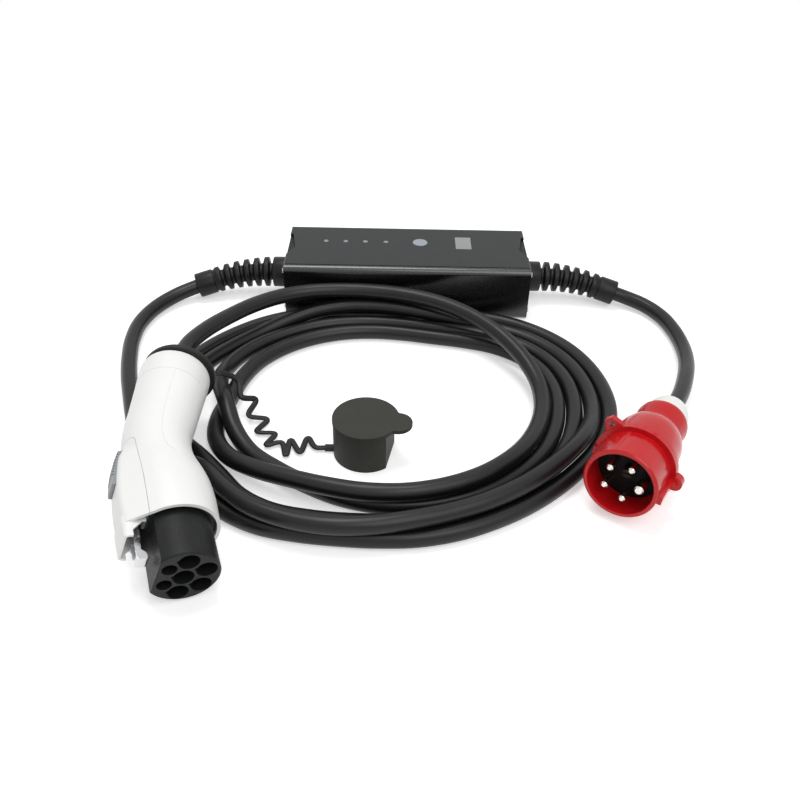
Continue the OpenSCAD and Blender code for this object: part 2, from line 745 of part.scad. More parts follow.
// An outline in the gun's X and Z, pushed to both sides of its middle plane.
module across_gun(w) {
  translate([0, w / 2, 0]) rotate([90, 0, 0]) linear_extrude(w) children();
}

module latch_bracket() {
  base_t = 2;
  base_l = 22;
  half_w = cheek_in + cheek_t;
  color(steel) gun_place() difference() {
    union() {
      translate([pivot_x - base_l / 2, -half_w, nose_flat]) cube([base_l, 2 * half_w, base_t]);
      for (side = [0, 1]) mirror([0, side, 0]) translate([0, half_w, 0]) rotate([90, 0, 0]) linear_extrude(cheek_t) {
        translate([pivot_x, pivot_z]) circle(pivot_d / 2 + 2.5);
        translate([pivot_x - pivot_d / 2 - 2.5, nose_flat + base_t / 2])
          square([pivot_d + 5, pivot_z - nose_flat - base_t / 2]);
      }
    }
    translate([pivot_x, half_w + cut, pivot_z]) rotate([90, 0, 0]) cylinder(d = pivot_d, h = 2 * half_w + 2 * cut);
  }
}

module latch_pin() {
  half_w = cheek_in + cheek_t;
  color(steel) gun_place() translate([pivot_x, half_w + 1, pivot_z]) rotate([90, 0, 0])
    cylinder(d = pivot_d, h = 2 * half_w + 2);
}

module latch_lever() {
  color(steel) gun_place() difference() {
    across_gun(lever_w) {
      polygon([[12, pivot_z - 4.4], [14.5, pivot_z - 6.3], [18, pivot_z - 4.2], [20, pivot_z - 1.6],
        [pivot_x - 6, pivot_z - 3], [pivot_x + 8, pivot_z - 3], [lever_tail, pivot_z - 2.5],
        lever_top_back, lever_top_front, [pivot_x - 8, pivot_z + 3], [14, pivot_z + 2.5], [12, pivot_z + 1]]);
      translate([pivot_x, pivot_z]) circle(pivot_d / 2 + 2.3);
    }
    translate([pivot_x, lever_w, pivot_z]) rotate([90, 0, 0]) cylinder(r = pivot_d / 2 + pivot_fit, h = 2 * lever_w);
  }
}

module latch_button() {
  top_front = 40.3;
  top_back = 31.7;
  run = button_back - button_front;
  color("#6c7073") gun_place() {
    across_gun(button_w) polygon([[button_front, lever_top(button_front)], lever_top_back,
      [button_back, lever_top_back[1]], [button_back, top_back - 0.6], [button_back - 1, top_back],
      [button_front + 1, top_front], [button_front, top_front - 1]]);
    for (i = [1:button_ribs]) {
      share = i / (button_ribs + 1);
      translate([button_front + share * run, 0, top_front + share * (top_back - top_front) - 0.3])
        rotate([90, 0, 0]) cylinder(r = 0.9, h = button_w - 2, center = true);
    }
  }
}

module latch_spring() {
  low = nose_flat + spring_wire_d / 2 + 0.05;
  high = pivot_z - 3 - spring_wire_d / 2 - 0.05;
  steps = spring_turns * spring_steps;
  color(steel) gun_place() tube([for (i = [0:steps])
    [spring_x + spring_r * cos(360 * i / spring_steps), spring_r * sin(360 * i / spring_steps),
      low + (high - low) * i / steps]], spring_wire_d / 2);
}

module microswitch() {
  body_x = nose_l + 6;
  color(black) gun_place() {
    translate([body_x, -3, shelf_z + shelf_t]) cube([14, 6, 7]);
    translate([body_x + 8, -1, shelf_z + shelf_t + 7 - eps]) cube([2, 2, 1.2]);
  }
}

module gun_gland() {
  color(rubber_black) gun_place() handle_place() {
    rod_x(gland_neck_r + 4, collar_back - collar_wall - seat_gap - 3, collar_back - collar_wall - seat_gap);
    rod_x(gland_neck_r, collar_back - collar_wall - seat_gap - eps, gland_back - gland_l + eps);
    cone_x(gland_neck_r + 6, cable_d / 2 + 2.4, gland_back - gland_l, gland_back);
  }
}

module dust_cap() {
  inner_r = nose_r + seat_gap;
  outer_r = inner_r + dust_cap_wall;
  inner_flat = nose_flat + seat_gap;
  top_t = 3;
  bevel = 1.2;
  tab_r = 9;
  rim_z = dust_cap_h - top_t;
  color(cap_grey) translate(dust_cap_at) {
    difference() {
      union() {
        intersection() {
          cylinder(r = outer_r, h = rim_z + eps);
          translate([-outer_r - cut, -outer_r - cut, 0])
            cube([outer_r + inner_flat + dust_cap_wall + cut, 2 * outer_r + 2 * cut, dust_cap_h]);
        }
        translate([0, 0, rim_z]) cylinder(r = outer_r, h = top_t - bevel);
        translate([0, 0, dust_cap_h - bevel - eps]) cylinder(r1 = outer_r, r2 = outer_r - bevel, h = bevel + eps);
        translate([outer_r + tab_reach - tab_r, 0, rim_z]) cylinder(r = tab_r, h = top_t - 0.6);
        translate([outer_r / 2, -tab_r, rim_z]) cube([outer_r / 2 + tab_reach - tab_r, 2 * tab_r, top_t - 0.6]);
        translate([-outer_r - 5, -4, 0.3]) cube([6.5, 8, 7]);
      }
      intersection() {
        translate([0, 0, -cut]) cylinder(r = inner_r, h = rim_z + cut);
        translate([-outer_r, -outer_r, -cut]) cube([outer_r + inner_flat, 2 * outer_r, rim_z + cut]);
      }
    }
  }
}

module strap_post(p) {
  translate(p) cylinder(d = strap_t, h = strap_h, $fn = 10);
}

module cap_strap() {
  ring_from = collar_back + seat_gap;
  ring_point = gun_point(handle_point(ring_from + ring_t / 2) + about_y([0, -8, -ring_r * 0.85], handle_angle));
  cap_end = dust_cap_at + [-nose_r - seat_gap - dust_cap_wall - 5 - strap_t / 2 - seat_gap, 0, 0.5];
  route = concat([ring_point], strap_route, [cap_end]);
  color(rubber_black) {
    for (i = [0:len(route) - 2]) hull() {
      strap_post(route[i]);
      strap_post(route[i + 1]);
    }
    gun_place() handle_place() difference() {
      rod_x(ring_r, ring_from, ring_from + ring_t);
      rod_x(gland_neck_r + seat_gap, ring_from - cut, ring_from + ring_t + cut);
    }
  }
}

module plug_place() {
  translate(plug_at) rotate(plug_turn) children();
}

// Children turned about the plug's axis, from the earth pin's side.
module plug_spin(a) {
  rotate([a, 0, 0]) children();
}

module plug_shroud() {
  lip = 1;
  color(plug_red) plug_place() difference() {
    union() {
      cone_x(shroud_r - lip, shroud_r, 0, lip);
      rod_x(shroud_r, lip - eps, flange_at + eps);
      rod_x(flange_r, flange_at, flange_at + flange_t);
      translate([2, -key_w / 2, shroud_r - 1]) cube([flange_at - 2 + eps, key_w, key_h + 1]);
      translate([0, 0, flange_r]) rod_x(ear_r, flange_at - 1, flange_at + flange_t);
      translate([0, 0, flange_r]) cone_x(2.4, 3, flange_at - 3.5, flange_at);
      plug_spin(lug_angle) difference() {
        translate([flange_at + 1, 0, 0]) rotate([90, 0, 90]) linear_extrude(flange_t - 1)
          polygon([[-9, flange_r - 3], [-3, flange_r + 8], [3, flange_r + 8], [9, flange_r - 3]]);
        translate([flange_at, -2.2, flange_r + 1.5]) cube([flange_t + cut, 4.4, 4]);
      }
    }
    rod_x(shroud_r - shroud_wall, -cut, flange_at + flange_t + cut);
  }
}

module at_pins(first, last) {
  for (i = [first:last]) plug_spin(72 * i) translate([0, 0, pin_circle_r]) children();
}

module plug_carrier() {
  color(black) plug_place() difference() {
    union() {
      rod_x(shroud_r - shroud_wall - seat_gap, shroud_depth, carrier_back);
      rod_x(4.5, shroud_depth - 6, shroud_depth + eps);
    }
    at_pins(0, 0) rod_x(earth_pin_d / 2 + 0.05, shroud_depth - cut, carrier_back + cut);
    at_pins(1, 4) rod_x(phase_pin_d / 2 + 0.05, shroud_depth - cut, carrier_back + cut);
    rod_x(2.1, shroud_depth - 6 - cut, carrier_back - 6);
  }
}

module plug_pin(d) {
  rod_x(d / 2, pin_tip + 1, carrier_back + 6);
  cone_x(d / 2 - 1, d / 2, pin_tip, pin_tip + 1 + eps);
}

module phase_pins() {
  color(silver) plug_place() at_pins(1, 4) plug_pin(phase_pin_d);
}

module earth_pin() {
  color(silver) plug_place() at_pins(0, 0) plug_pin(earth_pin_d);
}

module carrier_screw() {
  color(steel) plug_place() difference() {
    union() {
      rod_x(2, shroud_depth - 6 - eps, carrier_back - 7);
      rod_x(3.6, shroud_depth - 8, shroud_depth - 6);
    }
    translate([shroud_depth - 8 - cut, -0.5, -5]) cube([1.8, 1, 10]);
  }
}

module plug_body() {
  wall = 3;
  mid = body_at + rear_body_l * 0.6;
  grooves = 3;
  color(plug_red) plug_place() difference() {
    union() {
      cone_x(body_r, body_r - 1.5, body_at, mid);
      cone_x(body_r - 1.5, body_r - 3, mid - eps, body_back - 2);
      cone_x(body_r - 3, body_r - 5, body_back - 2 - eps, body_back);
      rod_x(neck_r - 3, body_back - eps, nut_at - 1);
      rod_x(neck_r, body_back + neck_gap, body_back + neck_gap + neck_l);
      rod_x(nut_d / 2 - 3, nut_at - 1 - eps, nut_at + nut_l / 2);
    }
    cone_x(body_r - wall + 1, body_r - 4 - wall, body_at - cut, body_back - 3);
    rod_x(cable_d / 2 + 1, body_back - 4, plug_back);
    for (i = [1:grooves]) translate([body_back + neck_gap + i * neck_l / (grooves + 1), 0, 0]) difference() {
      rod_x(neck_r + cut, -0.5, 0.5);
      rod_x(neck_r - 0.8, -cut, cut);
    }
  }
}

module plug_nut() {
  flutes = 24;
  flute_r = 1.3;
  grip_end = nut_at + nut_l * 0.6;
  color(white) plug_place() difference() {
    union() {
      rod_x(nut_d / 2, nut_at, grip_end);
      cone_x(nut_d / 2, cable_d / 2 + 6, grip_end - eps, plug_back);
    }
    rod_x(nut_d / 2 - 3 + seat_gap, nut_at - cut, nut_at + nut_l / 2 + seat_gap);
    rod_x(cable_d / 2 + 2, nut_at, plug_back + cut);
    for (i = [0:flutes - 1]) plug_spin(360 / flutes * i)
      translate([0, 0, nut_d / 2 + flute_r * 0.45]) rod_x(flute_r, nut_at + 2, grip_end - 1);
  }
}

module plug_seal() {
  color(rubber_black) plug_place() difference() {
    rod_x(cable_d / 2 + 2 - 0.05, nut_at + nut_l / 2 + 1, plug_back);
    rod_x(cable_d / 2 - 3, nut_at + nut_l / 2, plug_back - 4);
  }
}

module box_lead() {
  color(rubber_black) tube(box_lead_route, cable_d / 2);
}

module gun_lead() {
  color(rubber_black) tube(gun_lead_route, cable_d / 2);
}

module plug_lead() {
  color(rubber_black) tube(plug_lead_route, cable_d / 2);
}

// A closed ring through a list of equal sections.
module ring_loft(sections) {
  n = len(sections[0]);
  count = len(sections);
  polyhedron(
    points = [for (s = sections) each s],
    faces = [for (i = [0:count - 1], k = [0:n - 1]) let (j = (i + 1) % count)
      [i * n + k, i * n + (k + 1) % n, j * n + (k + 1) % n, j * n + k]]);
}

module cable_coil() {
  color(rubber_black) union() {
    ring_loft([for (i = [0:coil_steps - 1]) coil_section(360 * i / coil_steps)]);
    tube(front_over_route, cable_d / 2);
    tube(back_over_route, cable_d / 2);
  }
}

box_sleeve();
top_film();
end_cap_left();
end_cap_right();
gasket_left();
gasket_right();
end_screws();
display_window();
indicator_lens();
led_lenses();
relief_left();
relief_right();
main_board();
display_board();
board_pillars();
display_module();
relays();
current_sensor();
power_supply();
terminal_left();
terminal_right();
gun_housing();
latch_cover();
grip_inlay();
rear_collar();
gun_nose();
power_contacts();
signal_contacts();
latch_bracket();
latch_pin();
latch_lever();
latch_button();
latch_spring();
microswitch();
gun_gland();
dust_cap();
cap_strap();
plug_shroud();
plug_carrier();
phase_pins();
earth_pin();
carrier_screw();
plug_body();
plug_nut();
plug_seal();
box_lead();
cable_coil();
gun_lead();
plug_lead();
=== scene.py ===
"""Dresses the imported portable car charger: control box, charging gun, dust cap, cables and mains plug.

Every length below is in millimetres, in the frame of the CAD model, unless a comment says otherwise. Lengths
are turned to metres when a mesh is made.
"""
from __future__ import annotations

import json
import logging
import math
from dataclasses import dataclass, field
from enum import Enum
from typing import ClassVar

import bmesh
import bpy
import numpy as np
from mathutils import Euler, Matrix, Vector

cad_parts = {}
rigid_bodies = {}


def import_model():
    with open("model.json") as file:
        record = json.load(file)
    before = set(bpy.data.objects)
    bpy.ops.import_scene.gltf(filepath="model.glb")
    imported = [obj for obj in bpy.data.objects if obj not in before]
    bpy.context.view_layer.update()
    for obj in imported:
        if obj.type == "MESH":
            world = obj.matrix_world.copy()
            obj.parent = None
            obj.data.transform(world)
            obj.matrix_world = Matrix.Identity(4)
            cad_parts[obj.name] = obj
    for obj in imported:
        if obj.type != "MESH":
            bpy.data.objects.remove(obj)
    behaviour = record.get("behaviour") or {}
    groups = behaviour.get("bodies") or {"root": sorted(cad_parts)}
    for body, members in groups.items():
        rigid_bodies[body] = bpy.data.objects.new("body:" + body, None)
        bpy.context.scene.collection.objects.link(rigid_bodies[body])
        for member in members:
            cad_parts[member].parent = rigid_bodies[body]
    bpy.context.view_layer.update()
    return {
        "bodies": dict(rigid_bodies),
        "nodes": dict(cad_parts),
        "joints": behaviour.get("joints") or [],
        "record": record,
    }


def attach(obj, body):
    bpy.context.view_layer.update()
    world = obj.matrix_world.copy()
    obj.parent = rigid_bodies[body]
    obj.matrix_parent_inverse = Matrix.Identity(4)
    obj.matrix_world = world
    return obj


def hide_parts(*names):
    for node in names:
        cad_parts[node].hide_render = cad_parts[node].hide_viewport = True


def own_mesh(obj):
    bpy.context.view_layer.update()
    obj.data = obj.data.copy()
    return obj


MM = 0.001
LOG = logging.getLogger("charger")

Point = tuple[float, float, float]
Flat = tuple[float, float]

# Cores that twist inside the cables, and how often a cable's texture repeats in a metre.
CORES = 5
TEXTURE_PER_METRE = 40
# Steps between two points of a cord's route.
ROUTE_STEPS = 8
# How far cutting tools reach past the gun, upwards and to each side.
CUT_TOP = 90.0
CUT_SIDE = 80.0


def linear(code: str) -> tuple[float, float, float, float]:
    """Turns an sRGB hex colour to linear light.

    Args:
        code: Six hex digits after a hash sign.

    Returns:
        Red, green, blue and an alpha of one.
    """
    parts = [int(code[i:i + 2], 16) / 255 for i in (1, 3, 5)]
    light = [p / 12.92 if p <= 0.04045 else ((p + 0.055) / 1.055) ** 2.4 for p in parts]
    return light[0], light[1], light[2], 1.0


def add_node(tree: bpy.types.NodeTree, kind: str, inputs: dict | None = None,
             **settings: object) -> bpy.types.Node:
    """Adds one node with its settings, its socket values and its links.

    Args:
        tree: The node tree.
        kind: The node's type name.
        inputs: A value, or an output socket to link, for each input by name or number.
        **settings: Attributes of the node.

    Returns:
        The new node.
    """
    node = tree.nodes.new(kind)
    for name, value in settings.items():
        setattr(node, name, value)
    for key, value in (inputs or {}).items():
        if isinstance(value, bpy.types.NodeSocket):
            tree.links.new(value, node.inputs[key])
        else:
            node.inputs[key].default_value = value
    return node


def bare_tree(owner: bpy.types.Material | bpy.types.World) -> bpy.types.NodeTree:
    """Returns the node tree of a material or world, with nothing in it."""
    owner.use_nodes = True
    owner.node_tree.nodes.clear()
    return owner.node_tree


def put(name: str, data: bpy.types.ID) -> bpy.types.Object:
    """Makes an object of a mesh, lamp or camera and links it to the scene."""
    made = bpy.data.objects.new(name, data)
    bpy.context.scene.collection.objects.link(made)
    return made


class Surface(Enum):
    """How a surface was made, which sets the run of its fine relief."""

    MOULDED = "pebbled by the spark-eroded mould"
    POLISHED = "slow waves from a polished mould"
    EXTRUDED = "faint lines along the length"
    BRUSHED = "fine lines across the piece"


@dataclass(frozen=True)
class Finish:
    """One real material and the way its surface was made.

    Attributes:
        name: The material's name.
        colour: Its mean colour, sRGB hex.
        roughness: Its mean roughness.
        surface: The run of its relief.
        grain: Size of one bump of the relief, in mm.
        relief: Height of the relief, in mm.
        tone: Share by which the colour strays to each side.
        spread: How far the roughness strays to each side.
        patch: Size of one patch of stray colour, in mm.
        metallic: One for bare metal.
        specular: Level of the mirror reflection, one half for plain plastic.
        coat: Weight of a clear coat.
        coat_roughness: Roughness of that coat.
        STRETCH: How far the grain is squeezed along each axis to draw it out in lines.
        NOISE_RANGE: The values between which most of a noise lies.
        LEAST_ROUGHNESS: The roughness of the smoothest spot.
    """

    name: str
    colour: str
    roughness: float
    surface: Surface = Surface.MOULDED
    grain: float = 1.2
    relief: float = 0.02
    tone: float = 0.05
    spread: float = 0.06
    patch: float = 18.0
    metallic: float = 0.0
    specular: float = 0.5
    coat: float = 0.0
    coat_roughness: float = 0.1
    STRETCH: ClassVar[dict[Surface, Point]] = {Surface.EXTRUDED: (60.0, 1.0, 1.0),
                                               Surface.BRUSHED: (1.0, 9.0, 1.0)}
    NOISE_RANGE: ClassVar[Flat] = (0.3, 0.7)
    LEAST_ROUGHNESS: ClassVar[float] = 0.02

    def material(self) -> bpy.types.Material:
        """Makes the material's node tree.

        Returns:
            The material.
        """
        made = bpy.data.materials.new(self.name)
        tree = bare_tree(made)
        extruded = self.surface is Surface.EXTRUDED
        coords = add_node(tree, "ShaderNodeTexCoord").outputs
        along = coords["UV" if extruded else "Object"]
        if self.surface in self.STRETCH:
            along = add_node(tree, "ShaderNodeMapping", {
                "Vector": along, "Scale": self.STRETCH[self.surface]}).outputs["Vector"]
        grain = add_node(tree, "ShaderNodeTexNoise", {
            "Vector": along, "Scale": 1.0 if extruded else 1.0 / (self.grain * MM), "Detail": 3.0,
            "Roughness": 0.55}).outputs["Fac"]
        patches = add_node(tree, "ShaderNodeTexNoise", {
            "Vector": coords["Object"], "Scale": 1.0 / (self.patch * MM), "Detail": 4.0, "Roughness": 0.6})
        ramp = add_node(tree, "ShaderNodeValToRGB", {"Fac": patches.outputs["Fac"]})
        low, high = self.NOISE_RANGE
        for stop, place, share in zip(ramp.color_ramp.elements, (low, high), (1 - self.tone, 1 + self.tone)):
            stop.position = place
            stop.color = tuple(min(1.0, c * share) for c in linear(self.colour)[:3]) + (1.0,)
        rough = add_node(tree, "ShaderNodeMapRange", {
            "Value": grain, "From Min": low, "From Max": high,
            "To Min": max(self.LEAST_ROUGHNESS, self.roughness - self.spread),
            "To Max": min(1.0, self.roughness + self.spread)})
        bump = add_node(tree, "ShaderNodeBump", {
            "Height": grain, "Strength": 0.6, "Distance": self.relief * MM})
        shader = add_node(tree, "ShaderNodeBsdfPrincipled", {
            "Base Color": ramp.outputs["Color"], "Roughness": rough.outputs["Result"],
            "Normal": bump.outputs["Normal"], "Metallic": self.metallic, "Specular IOR Level": self.specular,
            "Coat Weight": self.coat, "Coat Roughness": self.coat_roughness})
        add_node(tree, "ShaderNodeOutputMaterial", {"Surface": shader.outputs["BSDF"]})
        return made


# The charging cable's centre line, from inside the box's left bend relief to the gun's gland.
GUN_CABLE_ROUTE: tuple[Point, ...] = (
    (-207.1, -11.1, 15.2), (-232.2, -25.6, 10.4), (-250.5, -48.9, 8), (-259.1, -77.3, 7.3),
    (-259.1, -107.1, 7.3), (-254.4, -136.5, 7.3), (-247.4, -165.5, 7.3), (-238.5, -193.9, 7.3),
    (-229, -222.2, 7.3), (-218.8, -250.2, 7.3), (-203.9, -275.9, 7.3), (-181.3, -295.2, 7.3),
    (-156.5, -311.6, 7.3), (-135.2, -332.4, 7.3), (-109.3, -347, 7.3), (-80.4, -354.1, 7.3),
    (-50.8, -357.7, 7.3), (-21, -359.2, 7.3), (8.7, -357.5, 7.3), (37.6, -350.2, 7.3), (64.8, -338.1, 7.3),
    (90.3, -322.7, 7.3), (113.5, -304, 7.3), (134.2, -282.5, 7.3), (152.3, -258.9, 7.3),
    (166.4, -232.6, 7.3), (173.6, -203.8, 7.3), (173.8, -174, 7.3), (168, -144.8, 7.3),
    (156.2, -117.5, 7.3), (138.2, -93.8, 7.3), (115.3, -74.9, 7.3), (88.6, -61.7, 7.3), (59.5, -55.4, 7.3),
    (29.7, -54.4, 7.3), (-0.1, -54.5, 7.3), (-29.9, -54.5, 7.3), (-59.7, -54.5, 7.3), (-89.4, -56.5, 7.3),
    (-118.2, -64.1, 7.3), (-144.3, -78.4, 7.3), (-166.7, -98, 7.3), (-185.7, -120.9, 7.3),
    (-200.8, -146.6, 7.3), (-210.7, -174.7, 7.3), (-213.8, -204.2, 7.3), (-209.2, -233.6, 7.3),
    (-196.2, -260.3, 7.3), (-175.7, -281.4, 10.3), (-153.9, -300.3, 17.8), (-134.8, -323.1, 20.3),
    (-112.5, -342.7, 21.6), (-85.4, -354.9, 21.9), (-56.2, -360.6, 21.9), (-26.5, -360.1, 22),
    (2.6, -353.6, 21.3), (30.8, -344, 19.9), (58.2, -332.3, 20), (83.7, -317, 20.6), (106.7, -298, 20.8),
    (126.7, -275.9, 20.1), (143.2, -251.4, 17), (154.5, -224.3, 11.9), (159.5, -195.2, 8.1),
    (157.8, -165.6, 7.3), (149.5, -137, 7.3), (134.2, -111.5, 7.3), (112.7, -91, 7.3), (86.5, -76.9, 7.4),
    (57.7, -69.7, 10.1), (28.6, -66.4, 15.7), (-0.7, -62.7, 19.5), (-30.3, -60.1, 21),
    (-60.1, -60.9, 20.6), (-89.2, -66.8, 17.8), (-116.3, -78, 12.9), (-140.9, -94.2, 8.6),
    (-162.3, -114.9, 7.3), (-179.9, -138.8, 7.3), (-192.8, -165.7, 7.3), (-198.8, -194.8, 7.3),
    (-196.4, -224.4, 7.3), (-184, -251.3, 7.3), (-163.7, -273.1, 7.3), (-144.3, -295.8, 7.3),
    (-125, -318.4, 7.3), (-99.6, -333.8, 7.3), (-70.7, -340.7, 7.3), (-41, -343.5, 7.3),
    (-11.2, -343.2, 7.3), (18.2, -338.4, 7.3), (46.5, -329.1, 7.3), (73.3, -316.1, 7.3),
    (97.4, -298.6, 7.3), (117.3, -276.5, 7.3), (131.7, -250.5, 7.3), (140.8, -222.1, 7.3),
    (144.7, -192.6, 7.3), (142.3, -162.9, 7.3), (132.1, -135, 7.3), (114.1, -111.4, 7.3),
    (89.7, -94.6, 7.3), (61.4, -85.3, 7.3), (32.2, -79.3, 7.3), (3.1, -72.8, 7.3), (-26.5, -69.3, 7.3),
    (-56.3, -70.4, 7.3), (-85.2, -77.4, 7.3), (-111.6, -91, 7.3), (-135.4, -109, 7.3),
    (-153.9, -132.2, 7.3), (-162.9, -160.3, 10.1), (-161.2, -188.7, 18.2), (-151.6, -216.5, 21.2),
    (-141.2, -243.3, 13.3), (-124.7, -267.2, 7.8), (-102, -286.6, 7.3), (-77.3, -303.1, 7.3),
    (-50.8, -316.7, 7.3), (-22, -324.2, 7.3), (7.7, -324.1, 7.3), (36.7, -317.2, 7.3), (63.7, -304.6, 7.3),
    (87.9, -287.3, 7.3), (107.4, -264.9, 7.3), (120.7, -238.3, 7.3), (128.3, -209.5, 7.3),
    (129.8, -179.7, 7.3), (123.2, -150.8, 7.3), (107.4, -125.7, 7.3), (83.5, -108.2, 7.3),
    (55.2, -99, 7.3), (26, -93.2, 7.3), (-3.3, -87.5, 7.3), (-33, -85, 7.3), (-62.6, -88.4, 7.3),
    (-90.4, -98.8, 7.3), (-114.8, -115.8, 7.3), (-134.1, -138.5, 7.3), (-145.9, -165.7, 7.3),
    (-151.7, -194.9, 7.3), (-157.3, -224.2, 7.5), (-154, -253.6, 9.5), (-139.3, -279.1, 12.9),
    (-116, -297.1, 16.5), (-89.3, -309.9, 19.7), (-61.4, -320.1, 21.6), (-32.2, -326.3, 22),
    (-2.5, -326.4, 22), (26.6, -320.2, 22.1), (53.5, -307.5, 21.8), (76.3, -288.4, 20.3),
    (94.3, -264.9, 17.4), (107.2, -238.2, 14.9), (114.8, -209.4, 14.3), (114.7, -179.8, 17),
    (105.3, -152.2, 22.8), (89.6, -127.7, 28.8), (70.3, -105.3, 32.6), (47.8, -85.9, 34.5),
    (21.9, -71.3, 35.6), (-6.5, -62.2, 36.2), (-35.9, -57.8, 36.4), (-65.7, -57.5, 36.7),
    (-95, -62.7, 37.4), (-121.9, -75.3, 38.5), (-144.4, -94.7, 40), (-162.8, -118.1, 41.7),
    (-178.5, -143.4, 43.4), (-189.4, -171, 44.5), (-190.5, -200.7, 44.2))

# ABS, injection moulded in a spark-eroded mould: a satin white that spreads each highlight softly.
SATIN_WHITE_ABS = Finish("satin_white_abs", "#f2f2f0", 0.40, grain=1.1, relief=0.014, tone=0.01,
                         specular=0.4)
# Soft-touch ABS of the grip, moulded in a finer mould: a little duller than the housing, and painted a touch
# whiter than it as painted light for the grip's side, which the lamps leave in shade.
SOFT_WHITE_GRIP_AND_PAINTED_LIGHT = Finish("soft_white_grip_and_painted_light", "#f5f5f3", 0.47, grain=0.9, relief=0.012, tone=0.01,
                         specular=0.35)
# Glass-filled PA, injection moulded: a near-black body colour with a fine dull grain, on the gun's nose and
# the box's end caps. The grain is drawn about twice as coarse as it is, so that it shows.
BLACK_PA = Finish("black_glass_filled_pa", "#161718", 0.5, grain=1.3, relief=0.045, tone=0.2, spread=0.1,
                  specular=0.24)
# PA of the pin carrier, moulded without glass: partly the carrier's own black and partly painted shade, darker
# than the other black PA so that it keeps the plug's inside dark.
CARRIER_PA_AND_PAINTED_SHADE = Finish("black_pa_and_painted_shade", "#0b0a0a", 0.6, grain=1.2, relief=0.02, tone=0.15, specular=0.15)
# PC and ABS blend, extruded sleeve with a rubbed skin and a clear coat: deep black, with long soft reflections.
GLOSS_BLACK_SLEEVE = Finish("satin_black_sleeve", "#090a0b", 0.27, Surface.POLISHED, grain=12.0, relief=0.004,
                            tone=0.1, spread=0.03, specular=0.4, coat=0.7, coat_roughness=0.2)
# Polycarbonate film, screen printed on its back and embossed matte: an even dark grey with a sandy face.
GREY_FILM = Finish("grey_matte_film", "#2c2d2e", 0.55, grain=0.8, relief=0.014, tone=0.05, spread=0.05,
                   specular=0.28)
# TPE jacket, extruded over twisted cores: soft black that lights up in a band along each turn.
BLACK_TPE_JACKET = Finish("black_tpe_jacket", "#121214", 0.36, Surface.EXTRUDED, relief=0.03, tone=0.15,
                          spread=0.07, patch=40.0, specular=0.32)
# Soft PVC, moulded bend reliefs and gland: black and slightly greasy, duller than the cable.
SOFT_BLACK_PVC = Finish("soft_black_pvc", "#111112", 0.42, grain=1.6, relief=0.03, tone=0.14, spread=0.08,
                        specular=0.26)
# Silicone rubber of the dust cap, moulded: dull olive grey with dust in its pores.
GREY_RUBBER = Finish("grey_moulded_rubber", "#343530", 0.62, grain=1.4, relief=0.035, tone=0.08, patch=12.0,
                     specular=0.22)
# Black rubber of the tether and ring, moulded: like the cap, but dark.
BLACK_RUBBER = Finish("black_moulded_rubber", "#181818", 0.52, grain=1.2, relief=0.03, tone=0.12,
                      specular=0.32)
# PA 6, injection moulded in a polished mould: signal red with a hard gloss.
RED_PA = Finish("gloss_red_pa", "#c01218", 0.22, Surface.POLISHED, grain=8.0, relief=0.008, tone=0.05,
                spread=0.04, specular=0.34)
# PA 6 of the gland nut, moulded: warm white with a satin face.
WHITE_PA = Finish("satin_white_pa", "#eeeeea", 0.42, grain=1.2, relief=0.02, tone=0.02)
# PA of the latch button, moulded: light grey, dull from thumbs.
GREY_PA = Finish("grey_ribbed_pa", "#8f9396", 0.46, grain=1.0, relief=0.02, tone=0.06)
# Brass, turned and nickel plated: warm silver contact pins with faint turning lines.
PLATED_BRASS = Finish("nickel_plated_brass", "#d5d2cb", 0.22, Surface.BRUSHED, grain=1.0, relief=0.004,
                      tone=0.04, spread=0.06, metallic=1.0)
# Steel, stamped, polished and chromed: a bright latch lever.
CHROMED_STEEL = Finish("chromed_steel", "#c9cacc", 0.14, Surface.BRUSHED, grain=2.0, relief=0.004, tone=0.04,
                       spread=0.05, metallic=1.0)
# Steel, zinc plated and passivated: screws, bracket, pin and spring with a grey bloom.
ZINC_STEEL = Finish("zinc_plated_steel", "#a9adb1", 0.34, grain=1.5, relief=0.006, tone=0.08, patch=5.0,
                    metallic=1.0)
# Steel, blackened in oil: the screw in the plug's floor, dark with a brown bloom.
BLACKENED_STEEL = Finish("oil_blackened_steel", "#2b2422", 0.45, grain=1.0, relief=0.006, tone=0.15, patch=4.0,
                         metallic=1.0)
# Acrylic window over a grey liquid crystal display: flat grey under a clear glossy sheet.
DISPLAY_ACRYLIC = Finish("display_acrylic", "#747977", 0.22, Surface.POLISHED, grain=8.0, relief=0.004,
                         tone=0.03, spread=0.04, coat=1.0, coat_roughness=0.03)
# Polycarbonate light pipe of the indicator, moulded with a diffusing face: milky, a little blue.
MILKY_LENS = Finish("milky_polycarbonate", "#8a929e", 0.28, Surface.POLISHED, grain=3.0, relief=0.01, tone=0.05,
                    spread=0.05, patch=5.0, coat=0.6, coat_roughness=0.08)
# Polycarbonate light pipes of the small lamps, unlit: smoky grey.
SMOKY_LENS = Finish("smoky_polycarbonate", "#7c7e80", 0.3, Surface.POLISHED, grain=2.0, relief=0.01, tone=0.06,
                    spread=0.05, patch=3.0, coat=0.4, coat_roughness=0.1)
# Glass-fibre laminate under solder mask, routed: the green boards inside the box.
GREEN_BOARD = Finish("green_solder_mask", "#1c5a38", 0.36, grain=2.0, relief=0.02, tone=0.1)
# PBT cases of the relays, sensor, switch and display frame, moulded: dark and dull.
DARK_PBT = Finish("dark_moulded_pbt", "#222831", 0.5, grain=1.2, relief=0.02, tone=0.08)
# Polyester tape around the transformer, wound: straw yellow.
YELLOW_TAPE = Finish("yellow_polyester_tape", "#cdb45a", 0.36, Surface.BRUSHED, grain=3.0, relief=0.02,
                     tone=0.06)
# PA terminal blocks, moulded: leaf green.
GREEN_PA = Finish("green_terminal_pa", "#3c7d4a", 0.45, grain=1.2, relief=0.02, tone=0.06)


